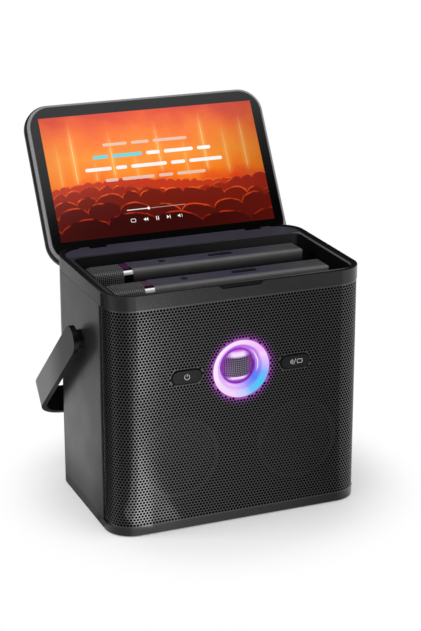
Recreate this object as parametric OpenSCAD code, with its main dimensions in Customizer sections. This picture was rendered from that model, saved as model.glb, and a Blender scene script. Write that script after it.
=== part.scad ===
// Portable karaoke machine: a speaker cabinet with a flip-up display lid, a bay with two
// wireless microphones, a glowing horn in a perforated front and a swinging carrying handle.
// The front looks along -Y, the origin is on the floor under the middle of the body.

/* [Body] */
// Width of the body
body_w = 348; // [335:1:380]
// Depth of the body, front to back
body_d = 229; // [222:1:250]
// Height of the body, floor to rim
body_h = 321; // [310:0.5:345]
// Radius of the upright corners
corner_r = 36; // [30:0.5:40]
// Wall of the cabinet
wall_t = 3; // [2.5:0.1:4]
// Height of the plain band under the rim
band_h = 18.3; // [17:0.1:22]
// Height of the plain band at the bottom, above the floor
base_h = 12.5; // [11:0.1:16]
// Thickness of the bottom
floor_t = 3.5; // [3:0.1:5]
// Standoff of the body above the floor
ride_h = 1.5; // [1:0.1:3]
// Length of the screw bosses of the cabinet
boss_len = 16; // [12:1:24]
// Diameter of the screw bosses
boss_dia = 10; // [8:0.5:12]
// Diameter of a base screw
screw_dia = 3.5; // [3:0.1:4]
// Diameter of the head of a base screw
screw_head = 7; // [6:0.1:8]
// Height of the head of a base screw
screw_head_t = 2.2; // [1.6:0.1:2.6]

/* [Foot] */
// Width of the rubber ring that the body stands on
foot_w = 9; // [6:0.5:12]
// Depth that the ring sits in the bottom
foot_seat = 1.5; // [1:0.1:2]
// Inset of the ring from the outline of the body
foot_inset = 16; // [14:0.5:20]

/* [Rim] */
// Thickness of the rim wall
rim_t = 2.8; // [2.4:0.1:3.4]
// Depth of the step inside the rim
rim_step = 1.6; // [1:0.1:2.4]
// Width of the sealing ring
gasket_w = 5.5; // [4:0.1:6]
// Thickness of the sealing ring
gasket_t = 2; // [1.5:0.1:2.5]
// Height of the ledge that carries the ring, the tray and the deck
ledge_t = 4.5; // [3:0.1:6]
// Width of the finger notch at its top
notch_w = 62; // [50:1:80]
// Depth of the finger notch
notch_h = 4.2; // [3:0.1:5]

/* [Microphone bay] */
// Distance from the side of the body to the opening
bay_side = 12.6; // [12.3:0.1:16]
// Distance from the front of the body to the opening
bay_front = 12.6; // [12.3:0.1:16]
// Front to back size of the opening
bay_len = 170.9; // [168:0.1:173]
// Depth of the bay below the rim
bay_depth = 48.5; // [46:0.5:56]
// Corner radius of the opening
bay_r = 13.5; // [8:0.5:16]
// Wall of the tray
tray_t = 2; // [1.6:0.1:2.4]
// Thickness of the lip of the tray
lip_t = 2.4; // [1.8:0.1:2.6]
// Thickness of the deck behind the bay
deck_t = 3; // [2.2:0.1:3.1]
// Seam between the tray and the deck
deck_seam = 0.6; // [0.2:0.1:1.2]
// Width of a saddle along the microphone
saddle_w = 14; // [8:0.5:20]
// Height that a saddle grips the microphone
saddle_grip = 12; // [6:0.5:16]
// Diameter of a charging contact
contact_dia = 3; // [2:0.1:4]
// Spacing of the two charging contacts
contact_gap = 10; // [6:0.5:16]

/* [Microphones] */
// Width of a microphone
mic_w = 37; // [34:0.5:38]
// Height of a microphone
mic_h = 37; // [34:0.5:38]
// Radius of its long edges
mic_r = 9; // [4:0.5:10]
// Length of the barrel
barrel_len = 242; // [225:1:245]
// Length of the polished collar
collar_len = 13; // [8:0.5:15]
// Length of the mesh head
head_len = 46.5; // [40:0.5:48]
// Radius of the long edges of the head
head_r = 12; // [8:0.5:16]
// Radius of the tip of the head, seen from above
tip_r = 16; // [10:0.5:17]
// Radius of the far end of the barrel, seen from above and from the side
tail_r = 9; // [5:0.5:14]
// Place of the far end of the barrel, from the middle of the body
tail_x = 141.5; // [136:0.5:144]
// Distance between the two microphones
mic_pitch = 80; // [74:1:84]
// Shift of both microphones towards the front of the bay
mic_shift = 3; // [0:0.5:5]
// Distance from the top of a microphone to the rim
mic_drop = 2.5; // [1.5:0.1:4]
// Wall of barrel, collar and head
mic_wall = 2; // [1.5:0.1:3]
// Diameter of the capsule
capsule_dia = 20; // [14:0.5:24]
// Length of the capsule
capsule_len = 16; // [10:0.5:24]
// Diameter of the round button on a microphone
mic_button_dia = 9; // [6:0.5:12]
// Distance from the collar to the round button
mic_button_at = 45; // [30:1:60]
// Length of the rocker on a microphone
rocker_len = 34; // [24:1:44]
// Width of the rocker
rocker_w = 8; // [6:0.5:10]
// Distance from the collar to the middle of the rocker
rocker_at = 127; // [100:1:150]
// Height that button and rocker stand out
control_rise = 0.5; // [0.3:0.1:1]
// Depth of the pockets of button and rocker
control_pocket = 3.2; // [2.6:0.1:4]
// Room under button and rocker for their travel
control_room = 0.9; // [0.8:0.05:0.95]
// Thickness of the floor under the pockets
pocket_floor = 1.5; // [1:0.1:2.5]

/* [Front] */
// Thickness of the perforated sheet
grille_t = 1.2; // [0.8:0.1:1.6]
// Gap between the sheet and the baffle
grille_gap = 1.8; // [1:0.1:3]
// Seam between the perforated sheet and the cabinet
side_seam = 1.2; // [0.4:0.1:2]
// Distance that the sheet reaches round the corners, from the front
grille_wrap = 42.5; // [41:0.5:60]
// Thickness of the baffle
baffle_t = 7; // [6:0.1:7.4]
// Length of the side flange of the baffle, past the end of the sheet
flange_len = 14; // [8:1:20]

/* [Horn] */
// Height of the middle of the horn and the buttons above the floor
horn_z = 208; // [200:0.5:214]
// Diameter of the mouth
mouth_dia = 76.6; // [70:0.2:82]
// Diameter of the throat
throat_dia = 48.2; // [44:0.2:52]
// Depth of the funnel
funnel_depth = 12; // [9:0.5:14]
// Wall of the funnel
funnel_t = 1.8; // [1.5:0.1:2.5]
// Width of the flange of the funnel
funnel_flange = 6; // [4:0.5:8]
// Width of the ring round the throat
bezel_w = 2.4; // [1.8:0.1:3]
// Thickness of the ring round the throat
bezel_t = 3; // [2:0.1:4]
// Height of the domed mesh
dome_h = 7; // [4:0.5:9]
// Thickness of the domed mesh
dome_t = 1; // [0.8:0.1:1.5]
// Diameter of the tweeter motor
motor_dia = 44; // [36:0.5:50]
// Length of the tweeter motor
motor_len = 26; // [18:0.5:34]
// Thickness of the flange of the tweeter motor
motor_flange = 3; // [2:0.1:4]
// Length of the throat behind the funnel
throat_len = 5; // [4:0.5:8]
// Width of the light board
led_w = 9; // [6:0.5:11]
// Thickness of the circuit boards
board_t = 1.6; // [1.2:0.1:2]

/* [Buttons] */
// Distance of each button from the middle
button_x = 74.2; // [68:0.2:84]
// Length of a button
button_len = 38.5; // [32:0.5:44]
// Height of a button
button_h = 16.5; // [12:0.5:20]
// Distance that a button stands out of the sheet
button_rise = 1.4; // [0.8:0.1:2.5]
// Travel of a button
button_travel = 1; // [0.6:0.1:1.4]
// Slot round a button
button_gap = 0.6; // [0.4:0.1:0.9]
// Width of the flange behind the baffle
button_flange = 2.5; // [2:0.1:3]
// Thickness of the flange behind the baffle
button_flange_t = 1.5; // [1:0.1:2]
// Width of a switch
switch_w = 6; // [4:0.5:8]
// Height of a switch
switch_t = 2.5; // [1.5:0.1:4]

/* [Woofers] */
// Distance of each woofer from the middle
woofer_x = 82; // [76:1:88]
// Height of the woofers above the floor
woofer_z = 98; // [92:1:100]
// Outer diameter of the frame
woofer_dia = 132; // [120:1:138]
// Width of the flange of the frame
woofer_flange = 8; // [6:0.5:10]
// Thickness of the flange of the frame
woofer_flange_t = 4; // [3:0.1:5]
// Wall of the frame
woofer_wall = 2; // [1.5:0.1:3]
// Depth of the frame
woofer_depth = 38; // [30:1:46]
// Width of the rubber surround
surround_w = 11; // [8:0.5:14]
// Diameter of the magnet
magnet_dia = 82; // [70:1:88]
// Thickness of the magnet
magnet_t = 20; // [14:0.5:26]
// Diameter of the dust cap
cap_dia = 34; // [26:1:44]
// Height of the dust cap
cap_rise = 9; // [6:0.5:12]
// Thickness of the paper of the cone
cone_t = 1.2; // [0.8:0.1:1.6]
// Length of the voice coil behind the cone
coil_len = 10; // [8:0.5:12]
// Diameter of a woofer screw
woofer_screw_dia = 4; // [3:0.1:5]
// Length of a woofer screw in the baffle
woofer_screw_len = 5; // [4:0.5:6]

/* [Hinge] */
// Distance from the back of the body to the hinge axis
hinge_inset = 8; // [7.5:0.1:9]
// Distance from the hinge axis to the glass
hinge_drop = 13.5; // [13:0.1:15]
// Distance of each hinge from the middle
hinge_x = 112; // [100:1:116]
// Width of a hinge arm
arm_w = 24; // [20:1:34]
// Thickness of a hinge arm
arm_t = 7; // [6:0.5:10]
// Length of the foot of a hinge arm in the lid
arm_foot = 8; // [6:0.5:10]
// Radius of the knuckle
knuckle_r = 5; // [4.8:0.1:6]
// Diameter of the hinge pin
pin_dia = 5; // [4:0.1:6]
// Thickness of a cheek of the bracket
cheek_t = 4; // [3:0.1:6]
// Height of the foot of the bracket
bracket_h = 34; // [26:1:44]
// Thickness of the foot of the bracket
bracket_t = 5; // [3:0.5:6]
// Angle of the open lid, from closed
lid_open = 120.9; // [95:0.1:120.9]

/* [Lid] */
// Thickness of the lid
lid_t = 19; // [17:0.5:24]
// Slope of the edge of the lid, seen along the glass
bevel_w = 2.8; // [2:0.1:4]
// Slope of the edge of the lid, seen across the glass
bevel_h = 8.7; // [6:0.1:10]
// Height of the front part of the lid, glass to parting line
frame_h = 10.5; // [9.5:0.1:12]
// Thickness of the front web of the lid
web_t = 3; // [2.5:0.1:4]
// Width of the ledge that carries the glass
glass_ledge = 5; // [3:0.1:6]
// Thickness of the glass
glass_t = 1.1; // [0.8:0.1:1.6]
// Distance from the hinge axis to the lower edge of the glass
glass_foot = 10.5; // [9.5:0.1:14]
// Corner radius of the lower corners of the glass
glass_foot_r = 8; // [4:0.5:14]
// Fillet at the back of the lid
back_r = 5; // [3:0.5:7]

/* [Screen] */
// Width of the picture
screen_w = 311; // [296:1:312]
// Height of the picture
screen_h = 174; // [165:1:175]
// Distance from the hinge axis to the lower edge of the picture
screen_foot = 26.5; // [24:0.5:28]
// Border of the display round the picture
panel_border = 3; // [2:0.1:4]
// Thickness of the display
panel_t = 4; // [3:0.1:6]
// Size of the driver board along the screen
driver_w = 120; // [80:5:200]
// Size of the driver board across the screen
driver_h = 60; // [40:5:100]

/* [Handle] */
// Height of the pivot above the floor
pivot_z = 233; // [224:0.2:236]
// Distance of the pivot behind the middle
pivot_y = 3; // [-4:0.5:8]
// Width of the strap
strap_w = 38; // [32:0.5:42]
// Thickness of the strap
strap_t = 7; // [6:0.5:9]
// Reach from the pivot to the outside of the crossbar
strap_reach = 236; // [225:1:240]
// Outer corner radius of the strap
strap_r = 50; // [40:1:60]
// Gap between the body and an arm
strap_gap = 8; // [5:0.5:9]
// Angle of the hanging arm below level
strap_drop = 40.5; // [38:0.5:43]
// Diameter of a hub
hub_dia = 26; // [20:0.5:30]
// Diameter of the pin of a hub
hub_pin_dia = 10; // [8:0.5:12]
// Depth of the bore in the strap
hub_bore = 5.5; // [4:0.1:6]
// Diameter of the shank through the cabinet
shank_dia = 14; // [12:0.5:16]
// Length of the shank past the cabinet wall
shank_len = 8; // [6:0.5:12]
// Width across the corners of the hub nut
nut_dia = 24; // [20:0.5:30]
// Thickness of the hub nut
nut_t = 5; // [3:0.5:6]

/* [Inside and rear] */
// Size of the main board, side to side
main_w = 130; // [100:5:160]
// Size of the main board, front to back
main_d = 70; // [60:5:90]
// Height of the posts under the main board
post_h = 10; // [6:0.5:16]
// Diameter of the posts
post_dia = 8; // [6:0.5:10]
// Size of the heat sink, side to side
sink_w = 65; // [50:1:70]
// Size of the heat sink, front to back
sink_d = 42; // [30:1:44]
// Height of the heat sink
sink_h = 28; // [20:1:40]
// Thickness of the base of the heat sink
sink_base = 4; // [3:0.5:6]
// Thickness of a fin
fin_t = 2; // [1:0.1:3]
// Number of fins on the heat sink
sink_fins = 9; // [5:1:13]
// Size of the battery, side to side
battery_w = 66; // [56:1:72]
// Size of the battery, front to back
battery_d = 76; // [60:1:84]
// Height of the battery
battery_h = 44; // [30:1:60]
// Width of the socket plate
io_w = 96; // [80:1:130]
// Height of the socket plate
io_h = 30; // [24:1:40]
// Height of the middle of the socket plate above the floor
io_z = 64; // [50:1:90]
// Depth of the sockets behind the plate
socket_depth = 14; // [10:0.5:20]
// Width of a socket housing
socket_w = 14; // [12:0.5:18]
// Height of a socket housing
socket_h = 12; // [9:0.5:16]
// Diameter of the charging jack
jack_dia = 5.5; // [4:0.1:6]
// Diameter of the line jack
line_dia = 3.6; // [3:0.1:4]
// Width of a data socket
data_w = 9; // [7:0.1:10]
// Height of a data socket
data_h = 3.2; // [2.4:0.1:3.8]

/* [Clearances] */
// Gap between the rim and the closed lid
lid_gap = 0.4; // [0.3:0.05:0.8]
// Running gap round a pin, on the radius
pin_gap = 0.05; // [0.02:0.01:0.09]
// Gap beside a moving arm or hub
side_gap = 0.5; // [0.3:0.05:0.8]
// Gap between a microphone and what carries it
rest_gap = 0.3; // [0.25:0.05:0.5]
// Gap between fitted pieces
fit_gap = 0.1; // [0.05:0.01:0.2]

/* [Hidden] */
$fn = 96;
eps = 0.01;

// Levels and planes of the body
front_y = -body_d / 2;
back_y = body_d / 2;
side_x = body_w / 2;
band_z = body_h - band_h;
ledge_z = body_h - rim_step - gasket_t;
floor_z = ride_h + floor_t;
wrap_y = front_y + grille_wrap;
baffle_y = front_y + grille_t + grille_gap;
baffle_back = baffle_y + baffle_t;
lip_inset = rim_t + gasket_w + fit_gap;

// The bay
bay_w = body_w - 2 * bay_side;
bay_y0 = front_y + bay_front;
bay_y1 = bay_y0 + bay_len;
bay_mid = (bay_y0 + bay_y1) / 2;
bay_floor = body_h - bay_depth;
deck_y = bay_y1 + tray_t + deck_seam;

// The microphones lie along X, heads to the left
mic_top = body_h - mic_drop;
mic_axis_z = mic_top - mic_h / 2;
mic_front_y = bay_mid - mic_pitch / 2 - mic_shift;
mic_rear_y = mic_front_y + mic_pitch;
collar_x = tail_x - barrel_len;
head_x = collar_x - collar_len;
tip_x = head_x - head_len;

// The hinge axis lies under the deck, parallel to X
hinge_y = back_y - hinge_inset;
glass_z = body_h + lid_gap;
hinge_z = glass_z - hinge_drop;
roll_r = hinge_drop - lid_gap;
slot_w = arm_w + 2 * side_gap;
slot_y = hinge_y - arm_t / 2 - side_gap;
arm_slope = lid_open - 90;
slot_z = hinge_z - hinge_inset * tan(arm_slope) - arm_t / 2 / cos(arm_slope) - side_gap;

// Lid levels, counted from the hinge axis away from the glass
lid_front = -hinge_drop;
lid_parting = lid_front - frame_h;
lid_rear = lid_front - lid_t;

// The handle
strap_in = side_x + strap_gap;
strap_out = strap_in + strap_t;

// An outline with round corners
module rounded_outline(w, d, r) {
    square([w, d - 2 * r], center = true);
    square([w - 2 * r, d], center = true);
    for (x = [-1, 1], y = [-1, 1])
        translate([x * (w / 2 - r), y * (d / 2 - r)]) circle(r);
}

// The outline of the body, moved inwards
module body_outline(inset = 0) {
    rounded_outline(body_w - 2 * inset, body_d - 2 * inset, corner_r - inset);
}

// A ring that follows the outline of the body
module body_ring(outer, inner) {
    difference() {
        body_outline(outer);
        body_outline(inner);
    }
}

// A plan shape kept behind or in front of a line
module keep_behind(y) {
    intersection() {
        children();
        translate([-body_w, y]) square([2 * body_w, 2 * body_d]);
    }
}

module keep_before(y) {
    intersection() {
        children();
        translate([-body_w, y - 2 * body_d]) square([2 * body_w, 2 * body_d]);
    }
}

module bay_outline(outset = 0) {
    translate([0, bay_mid]) rounded_outline(bay_w + 2 * outset, bay_len + 2 * outset, bay_r + outset);
}

// A pill lying along X, drawn flat
module pill(length, height) {
    square([length - height, height], center = true);
    for (x = [-1, 1])
        translate([x * (length - height) / 2, 0]) circle(height / 2);
}

// Turns a flat shape to face the front, from plane y0 back to plane y1
module facing_front(y0, y1) {
    translate([0, y1, 0]) rotate([90, 0, 0]) linear_extrude(y1 - y0) children();
}

// Round things of the front, turned about an axis along Y, with depth counted from the front
module turned_front(x, z) {
    translate([x, front_y, z]) rotate([-90, 0, 0]) rotate_extrude() children();
}

// ---------------------------------------------------------------- body

module hinge_slots() {
    for (x = [-1, 1])
        translate([x * hinge_x - slot_w / 2, slot_y, slot_z])
            cube([slot_w, body_d, body_h]);
}

// What the rolling edge of the lid leaves of the rear edge of the body
module rear_roll() {
    translate([-body_w, hinge_y, hinge_z]) difference() {
        cube([2 * body_w, body_d, body_h]);
        rotate([0, 90, 0]) translate([0, 0, -eps]) cylinder(h = 2 * body_w + 2 * eps, r = roll_r);
    }
}

// The four base screws stand along the two sides
module screw_places() {
    for (x = [-1, 1], y = [back_y * -0.25, back_y * 0.55])
        translate([x * (side_x - wall_t - boss_dia / 2 + 1), y, 0]) children();
}

module screw_bore() {
    translate([0, 0, ride_h - 1]) cylinder(h = base_h + boss_len, d = screw_dia + 2 * fit_gap);
}

module base_screws() {
    color("#9a9ea3") screw_places() {
        translate([0, 0, ride_h]) cylinder(h = screw_head_t, d = screw_head);
        translate([0, 0, ride_h + screw_head_t - eps]) cylinder(h = base_h + boss_len / 2, d = screw_dia);
    }
}

module cabinet_shell() {
    color("#3a3a3a") difference() {
        union() {
            translate([0, 0, base_h]) linear_extrude(band_z - base_h)
                keep_behind(wrap_y) body_ring(0, wall_t);
            screw_places() translate([0, 0, base_h]) cylinder(h = boss_len, d = boss_dia);
        }
        screw_places() screw_bore();
        hinge_slots();
        translate([0, 0, io_z]) facing_front(back_y - wall_t - 1, back_y + 1)
            square([io_w + 2 * fit_gap, io_h + 2 * fit_gap], center = true);
        for (x = [-1, 1])
            translate([x * (side_x - wall_t / 2), pivot_y, pivot_z]) rotate([0, 90, 0])
                cylinder(h = 2 * wall_t, d = shank_dia + 2 * fit_gap, center = true);
    }
}

module button_places() {
    for (x = [-1, 1])
        translate([x * button_x, 0, horn_z]) children();
}

module front_baffle() {
    color("#202022") difference() {
        union() {
            translate([0, 0, base_h]) linear_extrude(band_z - base_h)
                keep_before(wrap_y + flange_len)
                    body_ring(grille_t + grille_gap, grille_t + grille_gap + wall_t);
            translate([0, baffle_y + baffle_t / 2, (base_h + band_z) / 2])
                cube([body_w - 2 * corner_r, baffle_t, band_z - base_h], center = true);
            button_places() for (x = [-1, 1])
                translate([x * (button_len / 2 + button_flange + post_dia / 2), 0, 0])
                    facing_front(baffle_back, switch_board_y) circle(d = post_dia - 1);
        }
        translate([0, 0, horn_z]) facing_front(baffle_y - 1, baffle_back + 1)
            circle(d = mouth_dia + 1);
        for (x = [-1, 1])
            translate([x * woofer_x, 0, woofer_z]) facing_front(baffle_y - 1, baffle_back + 1)
                circle(d = woofer_dia - 2 * woofer_flange);
        button_places() facing_front(baffle_y - 1, baffle_back + 1)
            pill(button_len + 2 * button_gap, button_h + 2 * button_gap);
        for (x = [-woofer_x, woofer_x])
            woofer_screw_bores(x);
    }
}

module front_grille() {
    color("#151515") difference() {
        translate([0, 0, base_h]) linear_extrude(band_z - base_h)
            keep_before(wrap_y - side_seam) body_ring(0, grille_t);
        translate([0, 0, horn_z]) facing_front(front_y - 1, front_y + 2 * grille_t)
            circle(d = mouth_dia + 2 * fit_gap);
        button_places() facing_front(front_y - 1, front_y + 2 * grille_t)
            pill(button_len + 2 * button_gap, button_h + 2 * button_gap);
    }
}

module notch_shape() {
    slope = notch_h * 1.4;
    polygon([
        [-notch_w / 2, 1], [notch_w / 2, 1], [notch_w / 2, 0],
        [notch_w / 2 - slope, -notch_h], [-notch_w / 2 + slope, -notch_h], [-notch_w / 2, 0],
    ]);
}

module top_frame() {
    color("#333335") difference() {
        union() {
            translate([0, 0, band_z]) linear_extrude(band_h) body_ring(0, rim_t);
            translate([0, 0, ledge_z - ledge_t]) linear_extrude(ledge_t) difference() {
                body_outline(rim_t - eps);
                bay_outline(tray_t + fit_gap);
            }
        }
        translate([0, 0, body_h]) facing_front(front_y - 1, front_y + rim_t + eps) notch_shape();
        hinge_slots();
        hinge_pockets();
        rear_roll();
    }
}

// Room for the brackets of the hinges under the deck
module hinge_pockets() {
    pocket_w = slot_w + 2 * cheek_t + 2 * side_gap;
    for (x = [-1, 1])
        translate([x * hinge_x - pocket_w / 2, hinge_y - knuckle_r - side_gap, 0])
            cube([pocket_w, back_y - rim_t - hinge_y + knuckle_r + side_gap, ledge_z + eps]);
}

module rim_gasket() {
    color("#0c0c0c") translate([0, 0, ledge_z]) linear_extrude(gasket_t)
        keep_before(hinge_y - knuckle_r) body_ring(rim_t, rim_t + gasket_w);
}

module hinge_cover() {
    color("#2b2833") difference() {
        translate([0, 0, ledge_z]) linear_extrude(deck_t) {
            keep_behind(deck_y) body_outline(lip_inset);
            translate([corner_r - side_x, deck_y])
                square([body_w - 2 * corner_r, back_y - rim_t - fit_gap - deck_y]);
        }
        hinge_slots();
        rear_roll();
    }
}

module mic_bay_tray() {
    color("#262628") difference() {
        union() {
            translate([0, 0, bay_floor - tray_t]) linear_extrude(ledge_z - bay_floor + tray_t)
                bay_outline(tray_t);
            translate([0, 0, ledge_z]) linear_extrude(lip_t)
                keep_before(bay_y1 + tray_t) body_outline(lip_inset);
        }
        difference() {
            translate([0, 0, bay_floor]) linear_extrude(body_h) bay_outline();
            for (x = saddle_places)
                saddle(x);
        }
        contact_holes(fit_gap);
    }
}

saddle_places = [collar_x + barrel_len * 0.2, tail_x - barrel_len * 0.2];
saddle_top = mic_top - mic_h + saddle_grip;

module saddle(x) {
    difference() {
        translate([x - saddle_w / 2, bay_y0 - 1, bay_floor - 1])
            cube([saddle_w, bay_len + 2, saddle_top - bay_floor + 1]);
        for (y = [mic_front_y, mic_rear_y])
            translate([x - saddle_w, y, mic_axis_z]) rotate([90, 0, 90])
                linear_extrude(2 * saddle_w)
                    rounded_outline(mic_w + 2 * rest_gap, mic_h + 2 * rest_gap, mic_r + rest_gap);
    }
}

contact_x = tail_x - tail_r - contact_gap * 2;

module contact_holes(gap) {
    for (y = [mic_front_y, mic_rear_y], s = [-1, 1])
        translate([contact_x + s * contact_gap / 2, y, bay_floor - tray_t - 3])
            cylinder(h = mic_top - mic_h - rest_gap - bay_floor + tray_t + 3,
                     r = contact_dia / 2 + gap);
}

module charge_contacts() {
    color("#c9a24a") contact_holes(0);
}

module base_plate() {
    color("#2a2a2c") difference() {
        union() {
            translate([0, 0, ride_h]) linear_extrude(base_h - ride_h) body_ring(0, wall_t + rim_t);
            translate([0, 0, ride_h]) linear_extrude(floor_t) body_outline();
            main_posts() cylinder(h = post_h, d = post_dia);
            screw_places() translate([0, 0, ride_h]) cylinder(h = base_h - ride_h, d = boss_dia);
        }
        screw_places() {
            screw_bore();
            translate([0, 0, ride_h - 1])
                cylinder(h = screw_head_t + 1, d = screw_head + 2 * fit_gap);
        }
        translate([0, 0, ride_h - 1]) linear_extrude(foot_seat + 1)
            body_ring(foot_inset - fit_gap, foot_inset + foot_w + fit_gap);
    }
}

module foot_ring() {
    color("#1a1a1a") linear_extrude(ride_h + foot_seat)
        body_ring(foot_inset, foot_inset + foot_w);
}

// ---------------------------------------------------------------- horn and front controls

mouth_r = mouth_dia / 2;
throat_r = throat_dia / 2;
throat_depth = funnel_depth + throat_len;

module horn_flare() {
    color("#e9d6f2") turned_front(0, horn_z) polygon([
        [mouth_r, 0], [mouth_r - 1.2, 1.6],
        [throat_r + (mouth_r - throat_r) * 0.35, funnel_depth * 0.55],
        [throat_r, funnel_depth], [throat_r, throat_depth], [throat_r + funnel_t, throat_depth],
        [throat_r + funnel_t, funnel_depth + funnel_t],
        [throat_r + (mouth_r - throat_r) * 0.35 + funnel_t, funnel_depth * 0.55 + funnel_t],
        [mouth_r, grille_t + grille_gap], [mouth_r + funnel_flange, grille_t + grille_gap],
        [mouth_r + funnel_flange, grille_t], [mouth_r, grille_t],
    ]);
}

module led_ring_board() {
    color("#f4f4ee") turned_front(0, horn_z)
        translate([throat_r + funnel_t + fit_gap, throat_depth - board_t])
            square([led_w, board_t]);
}

module horn_bezel() {
    color("#4b1f7a") turned_front(0, horn_z)
        translate([throat_r - fit_gap - bezel_w, funnel_depth - 1])
            square([bezel_w, bezel_t]);
}

dome_base_r = throat_r - fit_gap - bezel_w - fit_gap;
dome_r = (dome_base_r * dome_base_r + dome_h * dome_h) / (2 * dome_h);
dome_depth = funnel_depth + bezel_t - 1 - dome_t;

module tweeter_grille() {
    color("#141418") translate([0, front_y + dome_depth, horn_z]) rotate([90, 0, 0])
        difference() {
            intersection() {
                translate([0, 0, dome_h - dome_r]) sphere(dome_r);
                translate([0, 0, -dome_t]) cylinder(h = dome_h + 2 * dome_t, r = dome_base_r);
            }
            translate([0, 0, dome_h - dome_r]) sphere(dome_r - dome_t);
        }
}

module tweeter_motor() {
    color("#3c3c40") {
        turned_front(0, horn_z) translate([0, throat_depth]) square([throat_r + funnel_t, motor_flange]);
        turned_front(0, horn_z) translate([0, throat_depth + motor_flange - eps])
            square([motor_dia / 2, motor_len]);
    }
}

button_back = baffle_back + fit_gap + button_flange_t;
switch_y = button_back + button_travel + rest_gap;
switch_board_y = switch_y + switch_t;

module button(x) {
    color("#3b3b3d") translate([x, 0, horn_z]) {
        facing_front(front_y - button_rise, baffle_back + fit_gap + eps) pill(button_len, button_h);
        facing_front(baffle_back + fit_gap, button_back)
            pill(button_len + 2 * button_flange, button_h + 2 * button_flange);
    }
}

module power_button() {
    button(-button_x);
}

module link_button() {
    button(button_x);
}

module button_boards() {
    color("#1f5a34") button_places() {
        board_len = button_len + 2 * button_flange + 2 * post_dia;
        facing_front(switch_board_y, switch_board_y + board_t) square([board_len, button_h], center = true);
        facing_front(switch_y, switch_board_y + eps) square(switch_w, center = true);
    }
}

// ---------------------------------------------------------------- woofers

woofer_face = baffle_back;
cone_top_r = woofer_dia / 2 - woofer_flange - surround_w;

// Four screws a woofer, in the middle of its flange
module woofer_screw_places(x) {
    for (a = [45 : 90 : 315])
        translate([x, woofer_face, woofer_z]) rotate([0, a, 0])
            translate([(woofer_dia - woofer_flange) / 2, 0, 0]) rotate([-90, 0, 0]) children();
}

module woofer_screw_bores(x) {
    woofer_screw_places(x) translate([0, 0, -woofer_screw_len - fit_gap])
        cylinder(h = woofer_screw_len + woofer_flange_t + 1, d = woofer_screw_dia + 2 * fit_gap);
}

module woofer_screws() {
    color("#9a9ea3") for (x = [-woofer_x, woofer_x])
        woofer_screw_places(x) {
            translate([0, 0, -woofer_screw_len])
                cylinder(h = woofer_screw_len + woofer_flange_t + eps, d = woofer_screw_dia);
            translate([0, 0, woofer_flange_t]) cylinder(h = screw_head_t, d = woofer_flange - 1);
        }
}

module woofer_frame(x) {
    outer = woofer_dia / 2;
    hole = outer - woofer_flange;
    color("#2f2f33") difference() {
        turned_front(x, woofer_z) translate([0, woofer_face - front_y]) polygon([
            [hole, 0], [outer, 0], [outer, woofer_flange_t], [hole - woofer_wall, woofer_flange_t],
            [magnet_dia / 2, woofer_depth], [cap_dia / 2, woofer_depth],
            [cap_dia / 2, woofer_depth - woofer_wall],
            [magnet_dia / 2 - 2 * woofer_wall, woofer_depth - woofer_wall],
            [hole - 2 * woofer_wall, woofer_flange_t / 2], [hole, woofer_flange_t / 2],
        ]);
        woofer_screw_bores(x);
    }
}

module woofer_surround(x) {
    outer = woofer_dia / 2 - woofer_flange - fit_gap;
    color("#161616") turned_front(x, woofer_z) translate([outer - surround_w / 2, woofer_face - front_y])
        difference() {
            circle(surround_w / 2);
            circle(surround_w / 2 - 1.2);
            translate([-surround_w, 0]) square([2 * surround_w, surround_w]);
        }
}

module woofer_cone(x) {
    deep = woofer_depth - woofer_wall - coil_len;
    bottom = woofer_depth - woofer_wall - fit_gap;
    cap_r = cap_dia / 2;
    color("#55555a") turned_front(x, woofer_z) translate([0, woofer_face - front_y]) polygon([
        [cone_top_r + cone_t, fit_gap], [cone_top_r + cone_t, fit_gap + cone_t],
        [cap_r + cone_t, deep + cone_t], [cap_r + cone_t, bottom], [cap_r - cone_t, bottom],
        [cap_r - cone_t, deep - 2 * cone_t], [0, deep - cap_rise], [0, deep - cap_rise - cone_t],
        [cap_r, deep - 3 * cone_t],
    ]);
}

module woofer_magnet(x) {
    color("#4a4a50") turned_front(x, woofer_z)
        translate([0, woofer_face - front_y + woofer_depth]) square([magnet_dia / 2, magnet_t]);
}

module left_woofer_frame() {
    woofer_frame(-woofer_x);
}

module left_woofer_surround() {
    woofer_surround(-woofer_x);
}

module left_woofer_cone() {
    woofer_cone(-woofer_x);
}

module left_woofer_magnet() {
    woofer_magnet(-woofer_x);
}

module right_woofer_frame() {
    woofer_frame(woofer_x);
}

module right_woofer_surround() {
    woofer_surround(woofer_x);
}

module right_woofer_cone() {
    woofer_cone(woofer_x);
}

module right_woofer_magnet() {
    woofer_magnet(woofer_x);
}

// ---------------------------------------------------------------- electronics

main_y = back_y - wall_t - main_d / 2 - 6;
main_x = -36;
post_inset = 6;

module main_posts() {
    for (x = [-1, 1], y = [-1, 1])
        translate([main_x + x * (main_w / 2 - post_inset), main_y + y * (main_d / 2 - post_inset), ride_h])
            children();
}

module main_board() {
    color("#1f5a34") translate([main_x, main_y, ride_h + post_h + board_t / 2])
        cube([main_w, main_d, board_t], center = true);
}

module heat_sink() {
    fin_pitch = (sink_w - fin_t) / (sink_fins - 1);
    color("#b7bbc0") translate([main_x, main_y, ride_h + post_h + board_t]) {
        translate([-sink_w / 2, -sink_d / 2, 0]) cube([sink_w, sink_d, sink_base]);
        for (i = [0 : sink_fins - 1])
            translate([-sink_w / 2 + i * fin_pitch, -sink_d / 2, sink_base - eps])
                cube([fin_t, sink_d, sink_h - sink_base]);
    }
}

battery_x = main_x + main_w / 2 + 10;

module battery_pack() {
    color("#3465a4") translate([battery_x, main_y - battery_d / 2, floor_z])
        cube([battery_w, battery_d, battery_h]);
}

// ---------------------------------------------------------------- rear sockets

socket_pitch = io_w / 4;

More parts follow.
